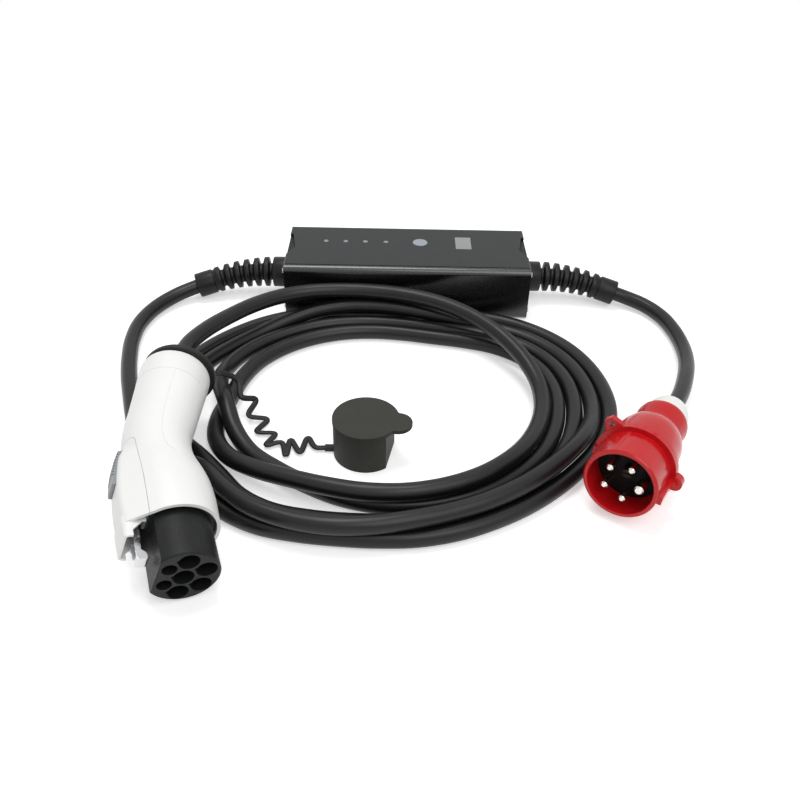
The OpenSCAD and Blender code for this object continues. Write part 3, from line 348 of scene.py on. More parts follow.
class Workshop:
    """Mesh and modifier work that the sub-assemblies share.

    Attributes:
        nodes: The CAD nodes by name.
        materials: The materials made so far, by name.
        soft_edges: The geometry group that shades smooth across low angles.
        WELD_REACH: How close corners lie that are joined, in metres.
        BEVEL_STEPS: Faces across a rounded edge.
        BEVEL_ANGLE: The angle from which an edge is rounded, in degrees.
        SHARP_ANGLE: The angle above which an edge stays sharp, in degrees.
    """

    WELD_REACH: ClassVar[float] = 1e-6
    BEVEL_STEPS: ClassVar[int] = 3
    BEVEL_ANGLE: ClassVar[float] = 38
    SHARP_ANGLE: ClassVar[float] = 34

    def __init__(self, frame: dict) -> None:
        """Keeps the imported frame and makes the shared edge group.
        """
        self.nodes: dict[str, bpy.types.Object] = frame["nodes"]
        self.materials: dict[str, bpy.types.Material] = {}
        self.soft_edges = self._soft_edge_group(math.radians(self.SHARP_ANGLE))

    def material(self, finish: Finish) -> bpy.types.Material:
        """Returns a finish's material, made once."""
        if finish.name not in self.materials:
            self.materials[finish.name] = finish.material()
        return self.materials[finish.name]

    @staticmethod
    def _soft_edge_group(limit: float) -> bpy.types.NodeTree:
        """Makes the geometry group that shades smooth across low angles.

        Args:
            limit: The angle, in radians, above which an edge stays sharp.

        Returns:
            The node group.
        """
        group = bpy.data.node_groups.new("soft_edges", "GeometryNodeTree")
        for way in ("INPUT", "OUTPUT"):
            group.interface.new_socket("Geometry", in_out=way, socket_type="NodeSocketGeometry")
        start = add_node(group, "NodeGroupInput")
        bare = add_node(group, "GeometryNodeRemoveAttribute", {
            "Geometry": start.outputs[0], "Name": "custom_normal"})
        smooth = add_node(group, "GeometryNodeSetShadeSmooth", {
            "Geometry": bare.outputs[0], "Shade Smooth": True}, domain="FACE")
        angle = add_node(group, "GeometryNodeInputMeshEdgeAngle")
        steep = add_node(group, "FunctionNodeCompare", {0: angle.outputs["Unsigned Angle"], 1: limit},
                         data_type="FLOAT", operation="GREATER_THAN")
        sharp = add_node(group, "GeometryNodeSetShadeSmooth", {
            "Geometry": smooth.outputs[0], "Selection": steep.outputs[0], "Shade Smooth": False}, domain="EDGE")
        add_node(group, "NodeGroupOutput", {0: sharp.outputs[0]})
        return group

    def soften(self, piece: bpy.types.Object, bevel: float, weld: bool) -> None:
        """Rounds a piece's edges and shades it smooth.

        Args:
            piece: The piece or CAD node.
            bevel: Width of the rounding in mm, or zero for none.
            weld: Whether the mesh's split corners are joined first.
        """
        if weld:
            piece.modifiers.new("weld", "WELD").merge_threshold = self.WELD_REACH
        if bevel > 0:
            edge = piece.modifiers.new("edge", "BEVEL")
            edge.width, edge.segments, edge.limit_method = bevel * MM, self.BEVEL_STEPS, "ANGLE"
            edge.angle_limit, edge.miter_outer = math.radians(self.BEVEL_ANGLE), "MITER_ARC"
            edge.use_clamp_overlap = True
        piece.modifiers.new("shade", "NODES").node_group = self.soft_edges
        if bevel > 0:
            piece.modifiers.new("flat_faces", "WEIGHTED_NORMAL").keep_sharp = True

    def dress(self, finishes: dict[str, tuple[Finish, float]]) -> None:
        """Gives CAD nodes their materials and softer edges.

        Args:
            finishes: The finish and the width of the edge rounding in mm, for each node.
        """
        for name, (finish, bevel) in finishes.items():
            node = self.nodes[name]
            if not node.material_slots:
                node.data.materials.append(None)
            for place in node.material_slots:
                place.material = self.material(finish)
            self.soften(node, bevel, weld=True)
            LOG.info("dressed %s in %s", name, finish.name)

    def piece(self, name: str, mesh: bpy.types.Mesh, finish: Finish, slot: str, body: str,
              replaced: tuple[str, ...] = (), bevel: float = 0.0, weld: bool = False) -> bpy.types.Object:
        """Makes an object of a mesh, puts it on a body and softens its edges.

        Args:
            name: The piece's name.
            mesh: Its mesh, in metres.
            finish: Its finish.
            slot: The record's material slot; not used.
            body: The body it rides on.
            replaced: CAD nodes that it stands for.
            bevel: Width of the edge rounding in mm, or zero for none.
            weld: Whether the mesh's split corners are joined first.

        Returns:
            The piece.
        """
        made = put(name, mesh)
        mesh.materials.clear()
        mesh.materials.append(self.material(finish))
        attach(made, body)
        if replaced:
            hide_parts(*replaced)
        self.soften(made, bevel, weld)
        LOG.info("built %s with %d faces", name, len(mesh.polygons))
        return made


def placed(at: Point, turn: Point) -> Matrix:
    """Returns the frame at a place in the model, turned about X, Y and Z by degrees."""
    return Matrix.Translation(at) @ Euler([math.radians(a) for a in turn], "XYZ").to_matrix().to_4x4()


def mesh_of(name: str, points: list, faces: list, place: Matrix | None = None) -> bpy.types.Mesh:
    """Makes a mesh from points in millimetres.

    Args:
        name: The mesh's name.
        points: Its corners.
        faces: Corner numbers of each face.
        place: Where the points' own frame lies in the model, in mm.

    Returns:
        The mesh, in metres, with its faces turned outwards.
    """
    mesh = bpy.data.meshes.new(name)
    mesh.from_pydata([tuple(map(float, p)) for p in points], [], faces)
    mesh.transform(Matrix.Scale(MM, 4) @ (place or Matrix.Identity(4)))
    shape = bmesh.new()
    shape.from_mesh(mesh)
    bmesh.ops.recalc_face_normals(shape, faces=shape.faces)
    shape.to_mesh(mesh)
    shape.free()
    return mesh


def prism(name: str, outline: list[Flat], low: float, high: float, axis: int,
          place: Matrix) -> bpy.types.Mesh:
    """Pushes a flat outline along one axis.

    Args:
        name: The mesh's name.
        outline: Corners in the two other axes, in order X, Y, Z.
        low: Where the prism starts.
        high: Where it ends.
        axis: Zero for X, one for Y, two for Z.
        place: Where the prism's own frame lies in the model, in mm.

    Returns:
        The closed mesh.
    """
    count = len(outline)
    points = []
    for level in (low, high):
        for a, b in outline:
            corner = [a, b]
            corner.insert(axis, level)
            points.append(corner)
    sides = [(i, (i + 1) % count, count + (i + 1) % count, count + i) for i in range(count)]
    return mesh_of(name, points, [tuple(range(count))[::-1], tuple(range(count, 2 * count))] + sides, place)


def loft(name: str, rings: list, looped: bool = False, place: Matrix | None = None) -> bpy.types.Mesh:
    """Joins rings of points to one skin.

    Args:
        name: The mesh's name.
        rings: The rings, all with the same count of points.
        looped: Whether the last ring joins the first, or both ends are capped.
        place: Where the rings' own frame lies in the model, in mm.

    Returns:
        The closed mesh.
    """
    count, total = len(rings[0]), len(rings)
    faces = []
    for i in range(total if looped else total - 1):
        here, there = i * count, (i + 1) % total * count
        faces += [(here + k, here + (k + 1) % count, there + (k + 1) % count, there + k) for k in range(count)]
    if not looped:
        faces += [tuple(range(count))[::-1], tuple((total - 1) * count + k for k in range(count))]
    return mesh_of(name, [p for ring in rings for p in ring], faces, place)


def around(sides: int) -> list[float]:
    """Lists evenly spaced angles once around, in radians."""
    return [2 * math.pi * k / sides for k in range(sides)]


def lathe(name: str, profile: tuple[Flat, ...], sides: int, place: Matrix) -> bpy.types.Mesh:
    """Turns a closed profile about the X axis.

    Args:
        name: The mesh's name.
        profile: Places along the axis and radii, once around the section.
        sides: Faces around the axis.
        place: Where the axis lies in the model, in mm.

    Returns:
        The mesh.
    """
    rings = [[(x, r * math.cos(a), r * math.sin(a)) for x, r in profile] for a in around(sides)]
    return loft(name, rings, True, place)


def arc(cx: float, cy: float, r: float, start: float, end: float, steps: int = 8) -> list[Flat]:
    """Lists points on an arc, with its angles in degrees."""
    angles = [math.radians(start + (end - start) * i / steps) for i in range(steps + 1)]
    return [(cx + r * math.cos(a), cy + r * math.sin(a)) for a in angles]


def lengths(points: np.ndarray) -> np.ndarray:
    """Gives each point's length along the line through all points."""
    return np.r_[0, np.cumsum(np.linalg.norm(np.diff(points, axis=0), axis=1))]


def spline(points: list | tuple | np.ndarray, per_span: int, axes: int = 3) -> np.ndarray:
    """Draws a smooth curve through points.

    Args:
        points: The points, one row each, with any other values after the first ones.
        per_span: Steps between each pair of points.
        axes: How many of the first values are a place.

    Returns:
        Rows on a smooth curve through the points.
    """
    p = np.asarray(points, float)
    along = lengths(p[:, :axes])
    slope = np.gradient(p, along, axis=0)
    rows = []
    for i in range(len(p) - 1):
        span = along[i + 1] - along[i]
        for t in np.arange(per_span) / per_span:
            s = t * t * (3 - 2 * t)
            rows.append(p[i] * (1 - s) + p[i + 1] * s
                        + span * ((t - 2 * t ** 2 + t ** 3) * slope[i] + (t ** 3 - t ** 2) * slope[i + 1]))
    rows.append(p[-1])
    return np.array(rows)


def even(points: np.ndarray, step: float) -> np.ndarray:
    """Spaces points evenly along a curve, about a step apart."""
    along = lengths(points)
    at = np.linspace(0, along[-1], max(2, int(round(along[-1] / step)) + 1))
    return np.array([np.interp(at, along, points[:, k]) for k in range(3)]).T


def carve(mesh: bpy.types.Mesh, tool: bpy.types.Mesh, operation: str) -> bpy.types.Mesh:
    """Cuts, joins or trims one mesh with another.

    Args:
        mesh: The mesh to work on.
        tool: The mesh that does it.
        operation: DIFFERENCE, UNION or INTERSECT.

    Returns:
        The new mesh.
    """
    work = [put("work", m) for m in (mesh, tool)]
    cut = work[0].modifiers.new("cut", "BOOLEAN")
    cut.operation, cut.object, cut.solver = operation, work[1], "EXACT"
    bpy.context.view_layer.update()
    made = bpy.data.meshes.new_from_object(work[0].evaluated_get(bpy.context.evaluated_depsgraph_get()))
    for one in work:
        bpy.data.objects.remove(one)
    return made


def tube(name: str, route: np.ndarray, radius: float, sides: int, lay: float = 0.0, rise: float = 0.0,
         tall: float = 1.0) -> bpy.types.Mesh:
    """Makes a round tube along a route, with faint ridges from twisted cores.

    Args:
        name: The mesh's name.
        route: Evenly spaced points of its centre line.
        radius: Its radius.
        sides: Faces around it.
        lay: Length of one twist of its cores, or zero.
        rise: Height of each core's ridge.
        tall: How many times as high as wide it is.

    Returns:
        The mesh, with a texture layout of turns around by lengths along.
    """
    ahead = np.gradient(route, axis=0)
    ahead /= np.linalg.norm(ahead, axis=1)[:, None]
    side = np.cross(ahead[0], (0, 0, 1.0))
    along = lengths(route)
    rings = []
    for centre, heading, s in zip(route, ahead, along):
        side = side - heading * side.dot(heading)
        side /= np.linalg.norm(side)
        up = np.cross(side, heading)
        ring = []
        for a in around(sides):
            twist = rise * math.cos(CORES * a + 2 * math.pi * s / lay) if lay else 0.0
            ring.append(centre + (radius + twist) * (math.cos(a) * side + tall * math.sin(a) * up))
        rings.append(ring)
    mesh = loft(name, rings)
    layout = mesh.uv_layers.new(name="turns_by_metres")
    for face in mesh.polygons:
        turns = [mesh.loops[c].vertex_index % sides for c in face.loop_indices]
        over = max(turns) - min(turns) > sides // 2
        for corner, turn in zip(face.loop_indices, turns):
            ring = mesh.loops[corner].vertex_index // sides
            layout.data[corner].uv = ((turn + sides * (over and turn == 0)) / sides,
                                      along[ring] * MM * TEXTURE_PER_METRE)
    return mesh


@dataclass
class Stage:
    """The pale floor, the soft lights and the camera at the photograph's view.

    Attributes:
        eye: Where the camera stands.
        pitch: How far it looks down, in degrees.
        turn: How far it is turned to the right, in degrees.
        roll: How far its right side is tipped up, in degrees.
        lens: Its focal length.
        film: The width of its film.
        clip: The nearest and the furthest that it sees, in metres.
        floor_half: Half the width of the floor.
        floor_drop: How far the floor lies under the object.
        floor_colour: The floor's paint.
        floor_glow: What the floor adds where it is seen, to come out white.
        sky: The world's light on the object.
        lamps: Name, place, aim, width and watts of each square softbox.
    """

    eye: Point = (-10.9, -786.0, 453.0)
    pitch: float = 37.0
    turn: float = 0.5
    roll: float = 1.29
    lens: float = 38.475
    film: float = 36.0
    clip: Flat = (0.01, 60.0)
    floor_half: float = 950.0
    floor_drop: float = 0.3
    floor_colour: str = "#f2f2f2"
    floor_glow: float = 0.45
    sky: float = 0.42
    lamps: tuple[tuple[str, Point, Point, float, float], ...] = (
        ("overhead_softbox", (-250.0, 250.0, 2200.0), (0.0, -180.0, 0.0), 1000.0, 20.5),
        ("front_fill", (580.0, -1250.0, 1600.0), (-80.0, -180.0, 0.0), 1300.0, 14.0))

    def build(self) -> None:
        """Makes the camera, the floor, the lamps and the world."""
        bpy.context.scene.view_settings.view_transform = "Standard"
        self._camera()
        self._floor()
        for name, place, aim, width, watts in self.lamps:
            box = bpy.data.lights.new(name, "AREA")
            box.size, box.energy = width * MM, watts
            lamp = put(name, box)
            lamp.location = Vector(place) * MM
            lamp.rotation_euler = (Vector(aim) - Vector(place)).to_track_quat("-Z", "Y").to_euler()
        self._world()

    def _camera(self) -> None:
        """Makes the camera and puts it in the scene."""
        pitch, turn, roll = (math.radians(a) for a in (self.pitch, self.turn, self.roll))
        ahead = Vector((math.sin(turn) * math.cos(pitch), math.cos(turn) * math.cos(pitch), -math.sin(pitch)))
        level = ahead.cross(Vector((0.0, 0.0, 1.0))).normalized()
        right = level * math.cos(roll) + level.cross(ahead) * math.sin(roll)
        place = Matrix((right, right.cross(ahead), -ahead)).transposed().to_4x4()
        place.translation = Vector(self.eye) * MM
        lens = bpy.data.cameras.new("photo_view")
        lens.lens, lens.sensor_width = self.lens, self.film
        lens.clip_start, lens.clip_end = self.clip
        camera = put("photo_view", lens)
        camera.matrix_world = place
        bpy.context.scene.camera = camera

    @staticmethod
    def _seen(tree: bpy.types.NodeTree, hidden: float, shown: float) -> bpy.types.NodeSocket:
        """Gives one value to rays that show the background, and another to rays that light the object.

        Args:
            tree: The node tree.
            hidden: The value for light on the object.
            shown: The value for the camera, for gloss and through glass.

        Returns:
            The socket with the value.
        """
        ray = add_node(tree, "ShaderNodeLightPath").outputs
        either = add_node(tree, "ShaderNodeMath", {0: ray["Is Camera Ray"], 1: ray["Is Glossy Ray"]},
                          operation="ADD")
        every = add_node(tree, "ShaderNodeMath", {0: either.outputs[0], 1: ray["Is Transmission Ray"]},
                         operation="ADD", use_clamp=True)
        return add_node(tree, "ShaderNodeMapRange", {"Value": every.outputs[0], "To Min": hidden,
                                                     "To Max": shown}).outputs["Result"]

    def _floor(self) -> None:
        """Makes the floor, a matte painted board that keeps the object's shadow."""
        half, low = self.floor_half, -self.floor_drop
        corners = [(-half, -half, low), (half, -half, low), (half, half, low), (-half, half, low)]
        mesh = mesh_of("studio_floor", corners, [(0, 1, 2, 3)])
        # Emulsion paint, rolled: an even pale sheet with no gloss.
        paint = bpy.data.materials.new("matte_floor_paint")
        tree = bare_tree(paint)
        matte = add_node(tree, "ShaderNodeBsdfDiffuse", {"Color": linear(self.floor_colour)})
        glow = add_node(tree, "ShaderNodeEmission", {"Strength": self._seen(tree, 0.0, self.floor_glow)})
        both = add_node(tree, "ShaderNodeAddShader", {0: matte.outputs[0], 1: glow.outputs[0]})
        add_node(tree, "ShaderNodeOutputMaterial", {"Surface": both.outputs[0]})
        mesh.materials.append(paint)
        floor = put("studio_floor", mesh)

    def _world(self) -> None:
        """Makes an even studio sky, white where it is seen."""
        world = bpy.data.worlds.new("studio_sky")
        tree = bare_tree(world)
        sky = add_node(tree, "ShaderNodeBackground", {
            "Color": (1.0, 1.0, 1.0, 1.0), "Strength": self._seen(tree, self.sky, 1.0)})
        add_node(tree, "ShaderNodeOutputWorld", {"Surface": sky.outputs[0]})
        bpy.context.scene.world = world


@dataclass
class BendRelief:
    """A ribbed bend relief on one end of the control box, curved with its cable.

    Attributes:
        shop: The shared mesh work.
        side: One for the right end of the box, minus one for the left.
        START: Where the right relief's axis starts to bend.
        DOWN: The direction to which it bends, forwards and down.
        TURN: How far it turns, in radians.
        COLLAR: Length of the straight collar at the box.
        BENT: Length of the bent, ribbed middle.
        TIP: Length of the straight tip.
        RIBS: How many ribs it has.
        CORE: Radius between the ribs.
        RIB_TOP: Radius of the first rib.
        RIB_FALL: How much lower each further rib is.
        SIDES: Faces around it.
    """

    shop: Workshop
    side: int
    START: ClassVar[Point] = (137.0, 0.0, 24.5)
    DOWN: ClassVar[Point] = (0.0, -0.766, -0.643)
    TURN: ClassVar[float] = math.radians(20.0)
    COLLAR: ClassVar[float] = 16.0
    BENT: ClassVar[float] = 60.0
    TIP: ClassVar[float] = 20.0
    RIBS: ClassVar[int] = 6
    CORE: ClassVar[float] = 8.6
    RIB_TOP: ClassVar[float] = 15.1
    RIB_FALL: ClassVar[float] = 0.45
    SIDES: ClassVar[int] = 64

    @classmethod
    def along(cls, s: float) -> tuple[Vector, Vector]:
        """Gives a point of the right relief's axis and its direction.

        Args:
            s: Length from the box's end face.

        Returns:
            The point and the direction.
        """
        start, down, ahead = Vector(cls.START), Vector(cls.DOWN), Vector((1.0, 0.0, 0.0))
        reach = cls.BENT / cls.TURN
        bent = min(max(s - cls.COLLAR, 0.0), cls.BENT)
        a = bent / reach
        heading = ahead * math.cos(a) + down * math.sin(a)
        curve = start + ahead * (reach * math.sin(a)) + down * (reach * (1 - math.cos(a)))
        return curve + heading * (s - cls.COLLAR - bent), heading

    @classmethod
    def mouth(cls) -> Vector:
        """Returns the point where the cable leaves the right relief."""
        return cls.along(cls.COLLAR + cls.BENT + cls.TIP)[0]

    def profile(self) -> list[Flat]:
        """Lists lengths and radii: lock, neck, flange, collar, ribs, tip and its hollow mouth."""
        core, pitch = self.CORE, self.BENT / self.RIBS
        line = [(-11, 12.6), (-10.6, 13), (-9, 13), (-9, 10), (0, 10), (0, 16.2), (0.4, 16.5), (2.6, 16.5),
                (3, 16.1), (3, 15.3), (15.2, 15.25), (15.8, 14.9), (16, 14.3)]
        for i in range(self.RIBS):
            s, top = self.COLLAR + i * pitch, self.RIB_TOP - self.RIB_FALL * i
            line += [(s + 0.9, core + 0.3), (s + 1.5, core), (s + 3, core), (s + 3.6, core + 0.3),
                     (s + 4.4, top - 0.9), (s + 4.7, top - 0.2), (s + 5.2, top), (s + 8.3, top - 0.15),
                     (s + 8.9, top - 0.4), (s + 9.2, top - 1.1)]
        end = self.COLLAR + self.BENT + self.TIP
        s = end - self.TIP
        return line + [
            (s + 0.4, 11.2), (s + 0.9, 11), (s + 1.6, 11.1), (s + 2.2, 12.1), (s + 3, 12.3), (end - 1.2, 12.35),
            (end - 0.4, 12.1), (end, 11.4), (end, 9.3), (end - 0.4, 8.6), (end - 1, 8.2), (end - 8.4, 8.0)]

    def build(self) -> None:
        """Makes the relief in place of its CAD node."""
        rings = []
        for s, r in self.profile():
            at, heading = self.along(s)
            across = heading.cross(Vector((0.0, 0.0, 1.0))).normalized()
            up = across.cross(heading)
            ring = [at + (across * math.cos(a) + up * math.sin(a)) * r for a in around(self.SIDES)]
            rings.append([(self.side * p.x, p.y, p.z) for p in ring])
        where = "right" if self.side > 0 else "left"
        self.shop.piece(f"bend_relief_{where}", loft("relief", rings), SOFT_BLACK_PVC, "soft_black", "charger",
                        (f"relief_{where}",))


@dataclass
class Cables:
    """The charging cable, laid in a coil from the box to the gun, and the short lead to the plug.

    Attributes:
        shop: The shared mesh work.
        diameter: The jacket's diameter.
        lay: Length in which the cores twist once around.
        rise: How far each core shows through the jacket.
        step: Space between two rings of the tube.
        sides: Faces around the tube.
        length: The charging cable's real length, in metres; not used.
        gun_route: Points of the charging cable's centre line, from the box to the gun.
        plug_route: Points of the short lead's centre line, from the box to the plug.
        plug_pieces: The pieces of the plug, which go with the short lead; not used.
    """

    shop: Workshop
    diameter: float = 14.5
    lay: float = 170.0
    rise: float = 0.07
    step: float = 5.0
    sides: int = 32
    length: float = 5.1
    gun_route: tuple[Point, ...] = GUN_CABLE_ROUTE
    plug_route: tuple[Point, ...] = (
        (207.1, -11.1, 15.2), (224, -15.8, 11.2), (243, -28.5, 8.7), (256, -49, 7.6), (262, -74, 7.4),
        (263, -103, 8), (258, -134, 11), (248, -165, 15.5), (229, -206.5, 20.4), (220.6, -220, 22.1))
    plug_pieces: tuple[str, ...] = ("plug_shroud", "plug_carrier", "phase_pins", "earth_pin", "carrier_screw",
                                    "plug_body_turned", "plug_nut_turned", "plug_seal")

    def build(self) -> None:
        right = tuple(v * MM for v in BendRelief.mouth())
        gun_path = even(spline(self.gun_route, ROUTE_STEPS), self.step)
        plug_path = even(spline(self.plug_route, ROUTE_STEPS), self.step)
        gun_cable = self._lay("gun_cable", gun_path, ("box_lead", "cable_coil", "gun_lead"))
        plug_cable = self._lay("plug_cable", plug_path, ("plug_lead",))

    def _lay(self, name: str, path: np.ndarray, replaced: tuple[str, ...]) -> bpy.types.Object:
        """Makes one cable along a path.

        Args:
            name: The piece's name.
            path: Evenly spaced points of its centre line.
            replaced: CAD nodes that it stands for.

        Returns:
            The cable.
        """
        mesh = tube(name, path, self.diameter / 2 - self.rise, self.sides, self.lay, self.rise)
        return self.shop.piece(name, mesh, BLACK_TPE_JACKET, "cable_black", "charger", replaced)


@dataclass
class ControlBox:
    """The box in the cable: sleeve, film, end caps, bend reliefs and what is inside.

    Attributes:
        shop: The shared mesh work.
        finishes: The finish and edge rounding of each CAD node.
    """

    shop: Workshop
    finishes: dict[str, tuple[Finish, float]] = field(default_factory=lambda: {
        "box_sleeve": (GLOSS_BLACK_SLEEVE, 0.4), "top_film": (GREY_FILM, 0.12),
        "end_cap_left": (BLACK_PA, 0.5), "end_cap_right": (BLACK_PA, 0.5),
        "gasket_left": (SOFT_BLACK_PVC, 0.0), "gasket_right": (SOFT_BLACK_PVC, 0.0),
        "end_screws": (ZINC_STEEL, 0.2), "display_window": (DISPLAY_ACRYLIC, 0.15),
        "indicator_lens": (MILKY_LENS, 0.2), "led_lenses": (SMOKY_LENS, 0.2),
        "main_board": (GREEN_BOARD, 0.0), "display_board": (GREEN_BOARD, 0.0),
        "board_pillars": (PLATED_BRASS, 0.2), "display_module": (DARK_PBT, 0.2), "relays": (DARK_PBT, 0.4),
        "current_sensor": (DARK_PBT, 0.4), "power_supply": (YELLOW_TAPE, 0.6),
        "terminal_left": (GREEN_PA, 0.3), "terminal_right": (GREEN_PA, 0.3)})

    def build(self) -> None:
        """Makes both bend reliefs and dresses the other nodes."""
        for side in (-1, 1):
            BendRelief(self.shop, side).build()
        self.shop.dress(self.finishes)


@dataclass
class MainsPlug:
    """The red five-pin plug on the short lead.

    Attributes:
        shop: The shared mesh work.
        at: The middle of the shroud's rim in the model.
        turn: The plug's turn about X, Y and Z, in degrees.
        sides: Faces around the turned pieces.
        body: Places along the axis and radii around the barrel's section.
        nut: The same for the gland nut.
        finishes: The finish and edge rounding of each CAD node.
    """

    shop: Workshop
    at: Point = (153.0, -329.0, 35.6)
    turn: Point = (94.0, 6.0, 58.2)
    sides: int = 96
    body: tuple[Flat, ...] = (
        (36.02, 26.5), (36.5, 27), (50, 26.9), (60, 26.6), (67, 25.9), (72, 24.6), (76, 22.6), (79, 20.4),
        (80.6, 19.2), (82, 18.6), (84, 18.5), (86, 18.9), (91, 20), (96, 21), (98.5, 21.3), (100.3, 21.1),
        (101, 20.4), (101, 14), (117, 14), (117, 8.4), (78, 8.4), (75, 19), (60, 22.8), (36.02, 23.6))
    nut: tuple[Flat, ...] = (
        (101.2, 17.2), (101.7, 17.7), (112, 17.5), (118, 16.9), (122.5, 15.4), (126, 13.2), (128, 11),
        (128.4, 9.4), (118, 9.3), (118, 14.2), (101.2, 14.2))
    finishes: dict[str, tuple[Finish, float]] = field(default_factory=lambda: {
        # The pin carrier's black is partly painted shade for the plug's dark inside.
        "plug_shroud": (RED_PA, 0.6), "plug_carrier": (CARRIER_PA_AND_PAINTED_SHADE, 0.3), "phase_pins": (PLATED_BRASS, 0.6),
        "earth_pin": (PLATED_BRASS, 0.6), "carrier_screw": (BLACKENED_STEEL, 0.15),
        "plug_seal": (SOFT_BLACK_PVC, 0.4)})

    def build(self) -> None:
        """Turns the barrel and the nut, and dresses the other nodes."""
        place = placed(self.at, self.turn)
        for name, profile, finish, slot in (("plug_body", self.body, RED_PA, "plug_red"),
                                            ("plug_nut", self.nut, WHITE_PA, "nut_white")):
            mesh = lathe(name, profile, self.sides, place)
            self.shop.piece(name + "_turned", mesh, finish, slot, "charger", (name,))
        self.shop.dress(self.finishes)


@dataclass
class ChargingGun:
    """The white gun: moulded housing, latch cover and grip over the black nose.

    Its own frame has X from the nose's front to the back and Z towards the latch.

    Attributes:
        shop: The shared mesh work.
        at: The nose's front in the model.
        turn: The gun's turn about X, Y and Z, in degrees.
        sections: X, Z, tilt, grip radius, ridge height and half width of the ridge at each section.
        ridge_r: Rounding of the ridge.
        wall: The mouldings' wall.
        edge: Rounding of the mouldings' edges.
        sides: Points around a section.
        per_span: Rings between two sections.
        seam: Gap around the latch cover.
        inlay_seam: Gap along the grip.
        split_z: Height of the seam under the latch cover.
        cover_start: Where the latch cover's outline starts, before the gun's front end.
        cover_end: Back end of the latch cover.
        cover_corner: Rounding of the cover's back corner.
        inlay_line: X and Z of the seam along the grip.
        inlay_steps: Steps between two points of that seam.
        hood: Front, back, half width and top of the hood over the lever.
        hood_round: Rounding of the hood, and how far its top runs level at its back.
        hood_slope: How much lower its front is.
        hood_wall: Its wall.
        slot: Front, back and half width of the button's slot.
        finishes: The finish and edge rounding of each CAD node.
    """

    shop: Workshop
    at: Point = (-145.0, -414.0, 26.0)
    turn: Point = (-70.0, -7.5, 109.4)
    sections: tuple[tuple[float, ...], ...] = (
        (36, 0, 0, 30.5, 37, 15), (62, 0, 0, 31, 37.5, 15), (74, 0.5, 0, 30.3, 36.3, 14.5),
        (86, 1.1, 2, 28.3, 34, 14), (96, 2.1, 4.5, 26.5, 31, 13), (106, 2.6, 7.5, 25.6, 26, 11),
        (122, 1.3, 13, 25.2, 22, 10), (146.97, -6.35, 18.5, 25.8, 18, 9), (165.93, -12.69, 18.5, 26.65, 14, 8),
        (178.26, -16.82, 18.5, 27.2, 10, 7))
    ridge_r: float = 7.0
    wall: float = 2.5
    edge: float = 0.35
    sides: int = 144
    per_span: int = 7
    seam: float = 0.28
    inlay_seam: float = 0.1
    split_z: float = 22.0
    cover_start: float = -5.0
    cover_end: float = 114.0
    cover_corner: float = 5.0
    inlay_line: tuple[Flat, ...] = (
        (88.4, -90), (87.2, -19), (85.8, -9), (88, -2.5), (94.5, 2.5), (106, 4.3), (119, 3), (131, 0.2),
        (155.3, -7), (183.2, -17), (226, -32), (226, -90))
    inlay_steps: int = 6
    hood: tuple[float, float, float, float] = (24.5, 42.0, 13.0, 38.0)
    hood_round: float = 5.0
    hood_slope: float = 1.2
    hood_wall: float = 1.6
    slot: Point = (72.5, 106.3, 8.5)
    finishes: dict[str, tuple[Finish, float]] = field(default_factory=lambda: {
        "gun_nose": (BLACK_PA, 0.5), "power_contacts": (PLATED_BRASS, 0.3),
        "signal_contacts": (PLATED_BRASS, 0.3), "rear_collar": (SATIN_WHITE_ABS, 0.7),
        "gun_gland": (SOFT_BLACK_PVC, 0.8), "latch_bracket": (ZINC_STEEL, 0.2), "latch_pin": (ZINC_STEEL, 0.2),
        "microswitch": (DARK_PBT, 0.3)})

    def place(self) -> Matrix:
        """Returns the gun's place in the model, in mm."""
        return placed(self.at, self.turn)

    def build(self) -> None:
        """Makes the three white mouldings and dresses the other nodes."""
        housing = carve(self._skin(), self._cutter(self._cover_outline(self.seam)), "DIFFERENCE")
        housing = carve(housing, self._cutter(self._inlay_outline(self.inlay_seam)), "DIFFERENCE")
        cover = carve(self._skin(), self._cutter(self._cover_outline(0.0)), "INTERSECT")
        cover = carve(cover, self._hood(), "UNION")
        front, back, half = self.slot
        corners = [(front, -half), (back, -half), (back, half), (front, half)]
        slot = prism("slot", corners, self.split_z - 1, CUT_TOP, 2, self.place())
        cover = carve(cover, slot, "DIFFERENCE")
        inlay = carve(self._skin(), self._cutter(self._inlay_outline(0.0)), "INTERSECT")
        # The grip's white is a touch lighter than the housing's: painted light for the grip's side.
        for name, mesh, finish in (("gun_housing", housing, SATIN_WHITE_ABS),
                                   ("latch_cover", cover, SATIN_WHITE_ABS),
                                   ("grip_inlay", inlay, SOFT_WHITE_GRIP_AND_PAINTED_LIGHT)):
            self.shop.piece(name + "_shell", mesh, finish, "gun_white", "charger", (name,), self.edge,
                            weld=True)
        self.shop.dress(self.finishes)

    def _outline(self, row: np.ndarray, inset: float) -> list[Point]:
        """Gives the points around one section: a round grip with a ridge over the latch.

        Args:
            row: The section's six values.
            inset: How far inside the outer face.

        Returns:
            The points, in the gun's frame.
        """
        x, z, tilt, grip, height, half = row
        lean, edge = math.radians(tilt), self.ridge_r - inset
        points = []
        for k in range(self.sides):
            a = 2 * math.pi * (k + 0.5) / self.sides
            across, up = math.cos(a), math.sin(a)
            centre = (math.copysign(half - self.ridge_r, across), height - self.ridge_r)
            if centre[0] * across + centre[1] * up + edge > grip - inset:
                y, rise = centre[0] + edge * across, centre[1] + edge * up
            else:
                y, rise = (grip - inset) * across, (grip - inset) * up
            points.append((x + rise * math.sin(lean), y, z + rise * math.cos(lean)))
        return points

    def _skin(self) -> bpy.types.Mesh:
        """Lofts the hollow moulded form through its sections, out along the face and back inside."""
        rows = spline(self.sections, self.per_span, axes=2)
        outer, inner = ([self._outline(row, inset) for row in rows] for inset in (0.0, self.wall))
        return loft("skin", outer + inner[::-1], True, self.place())

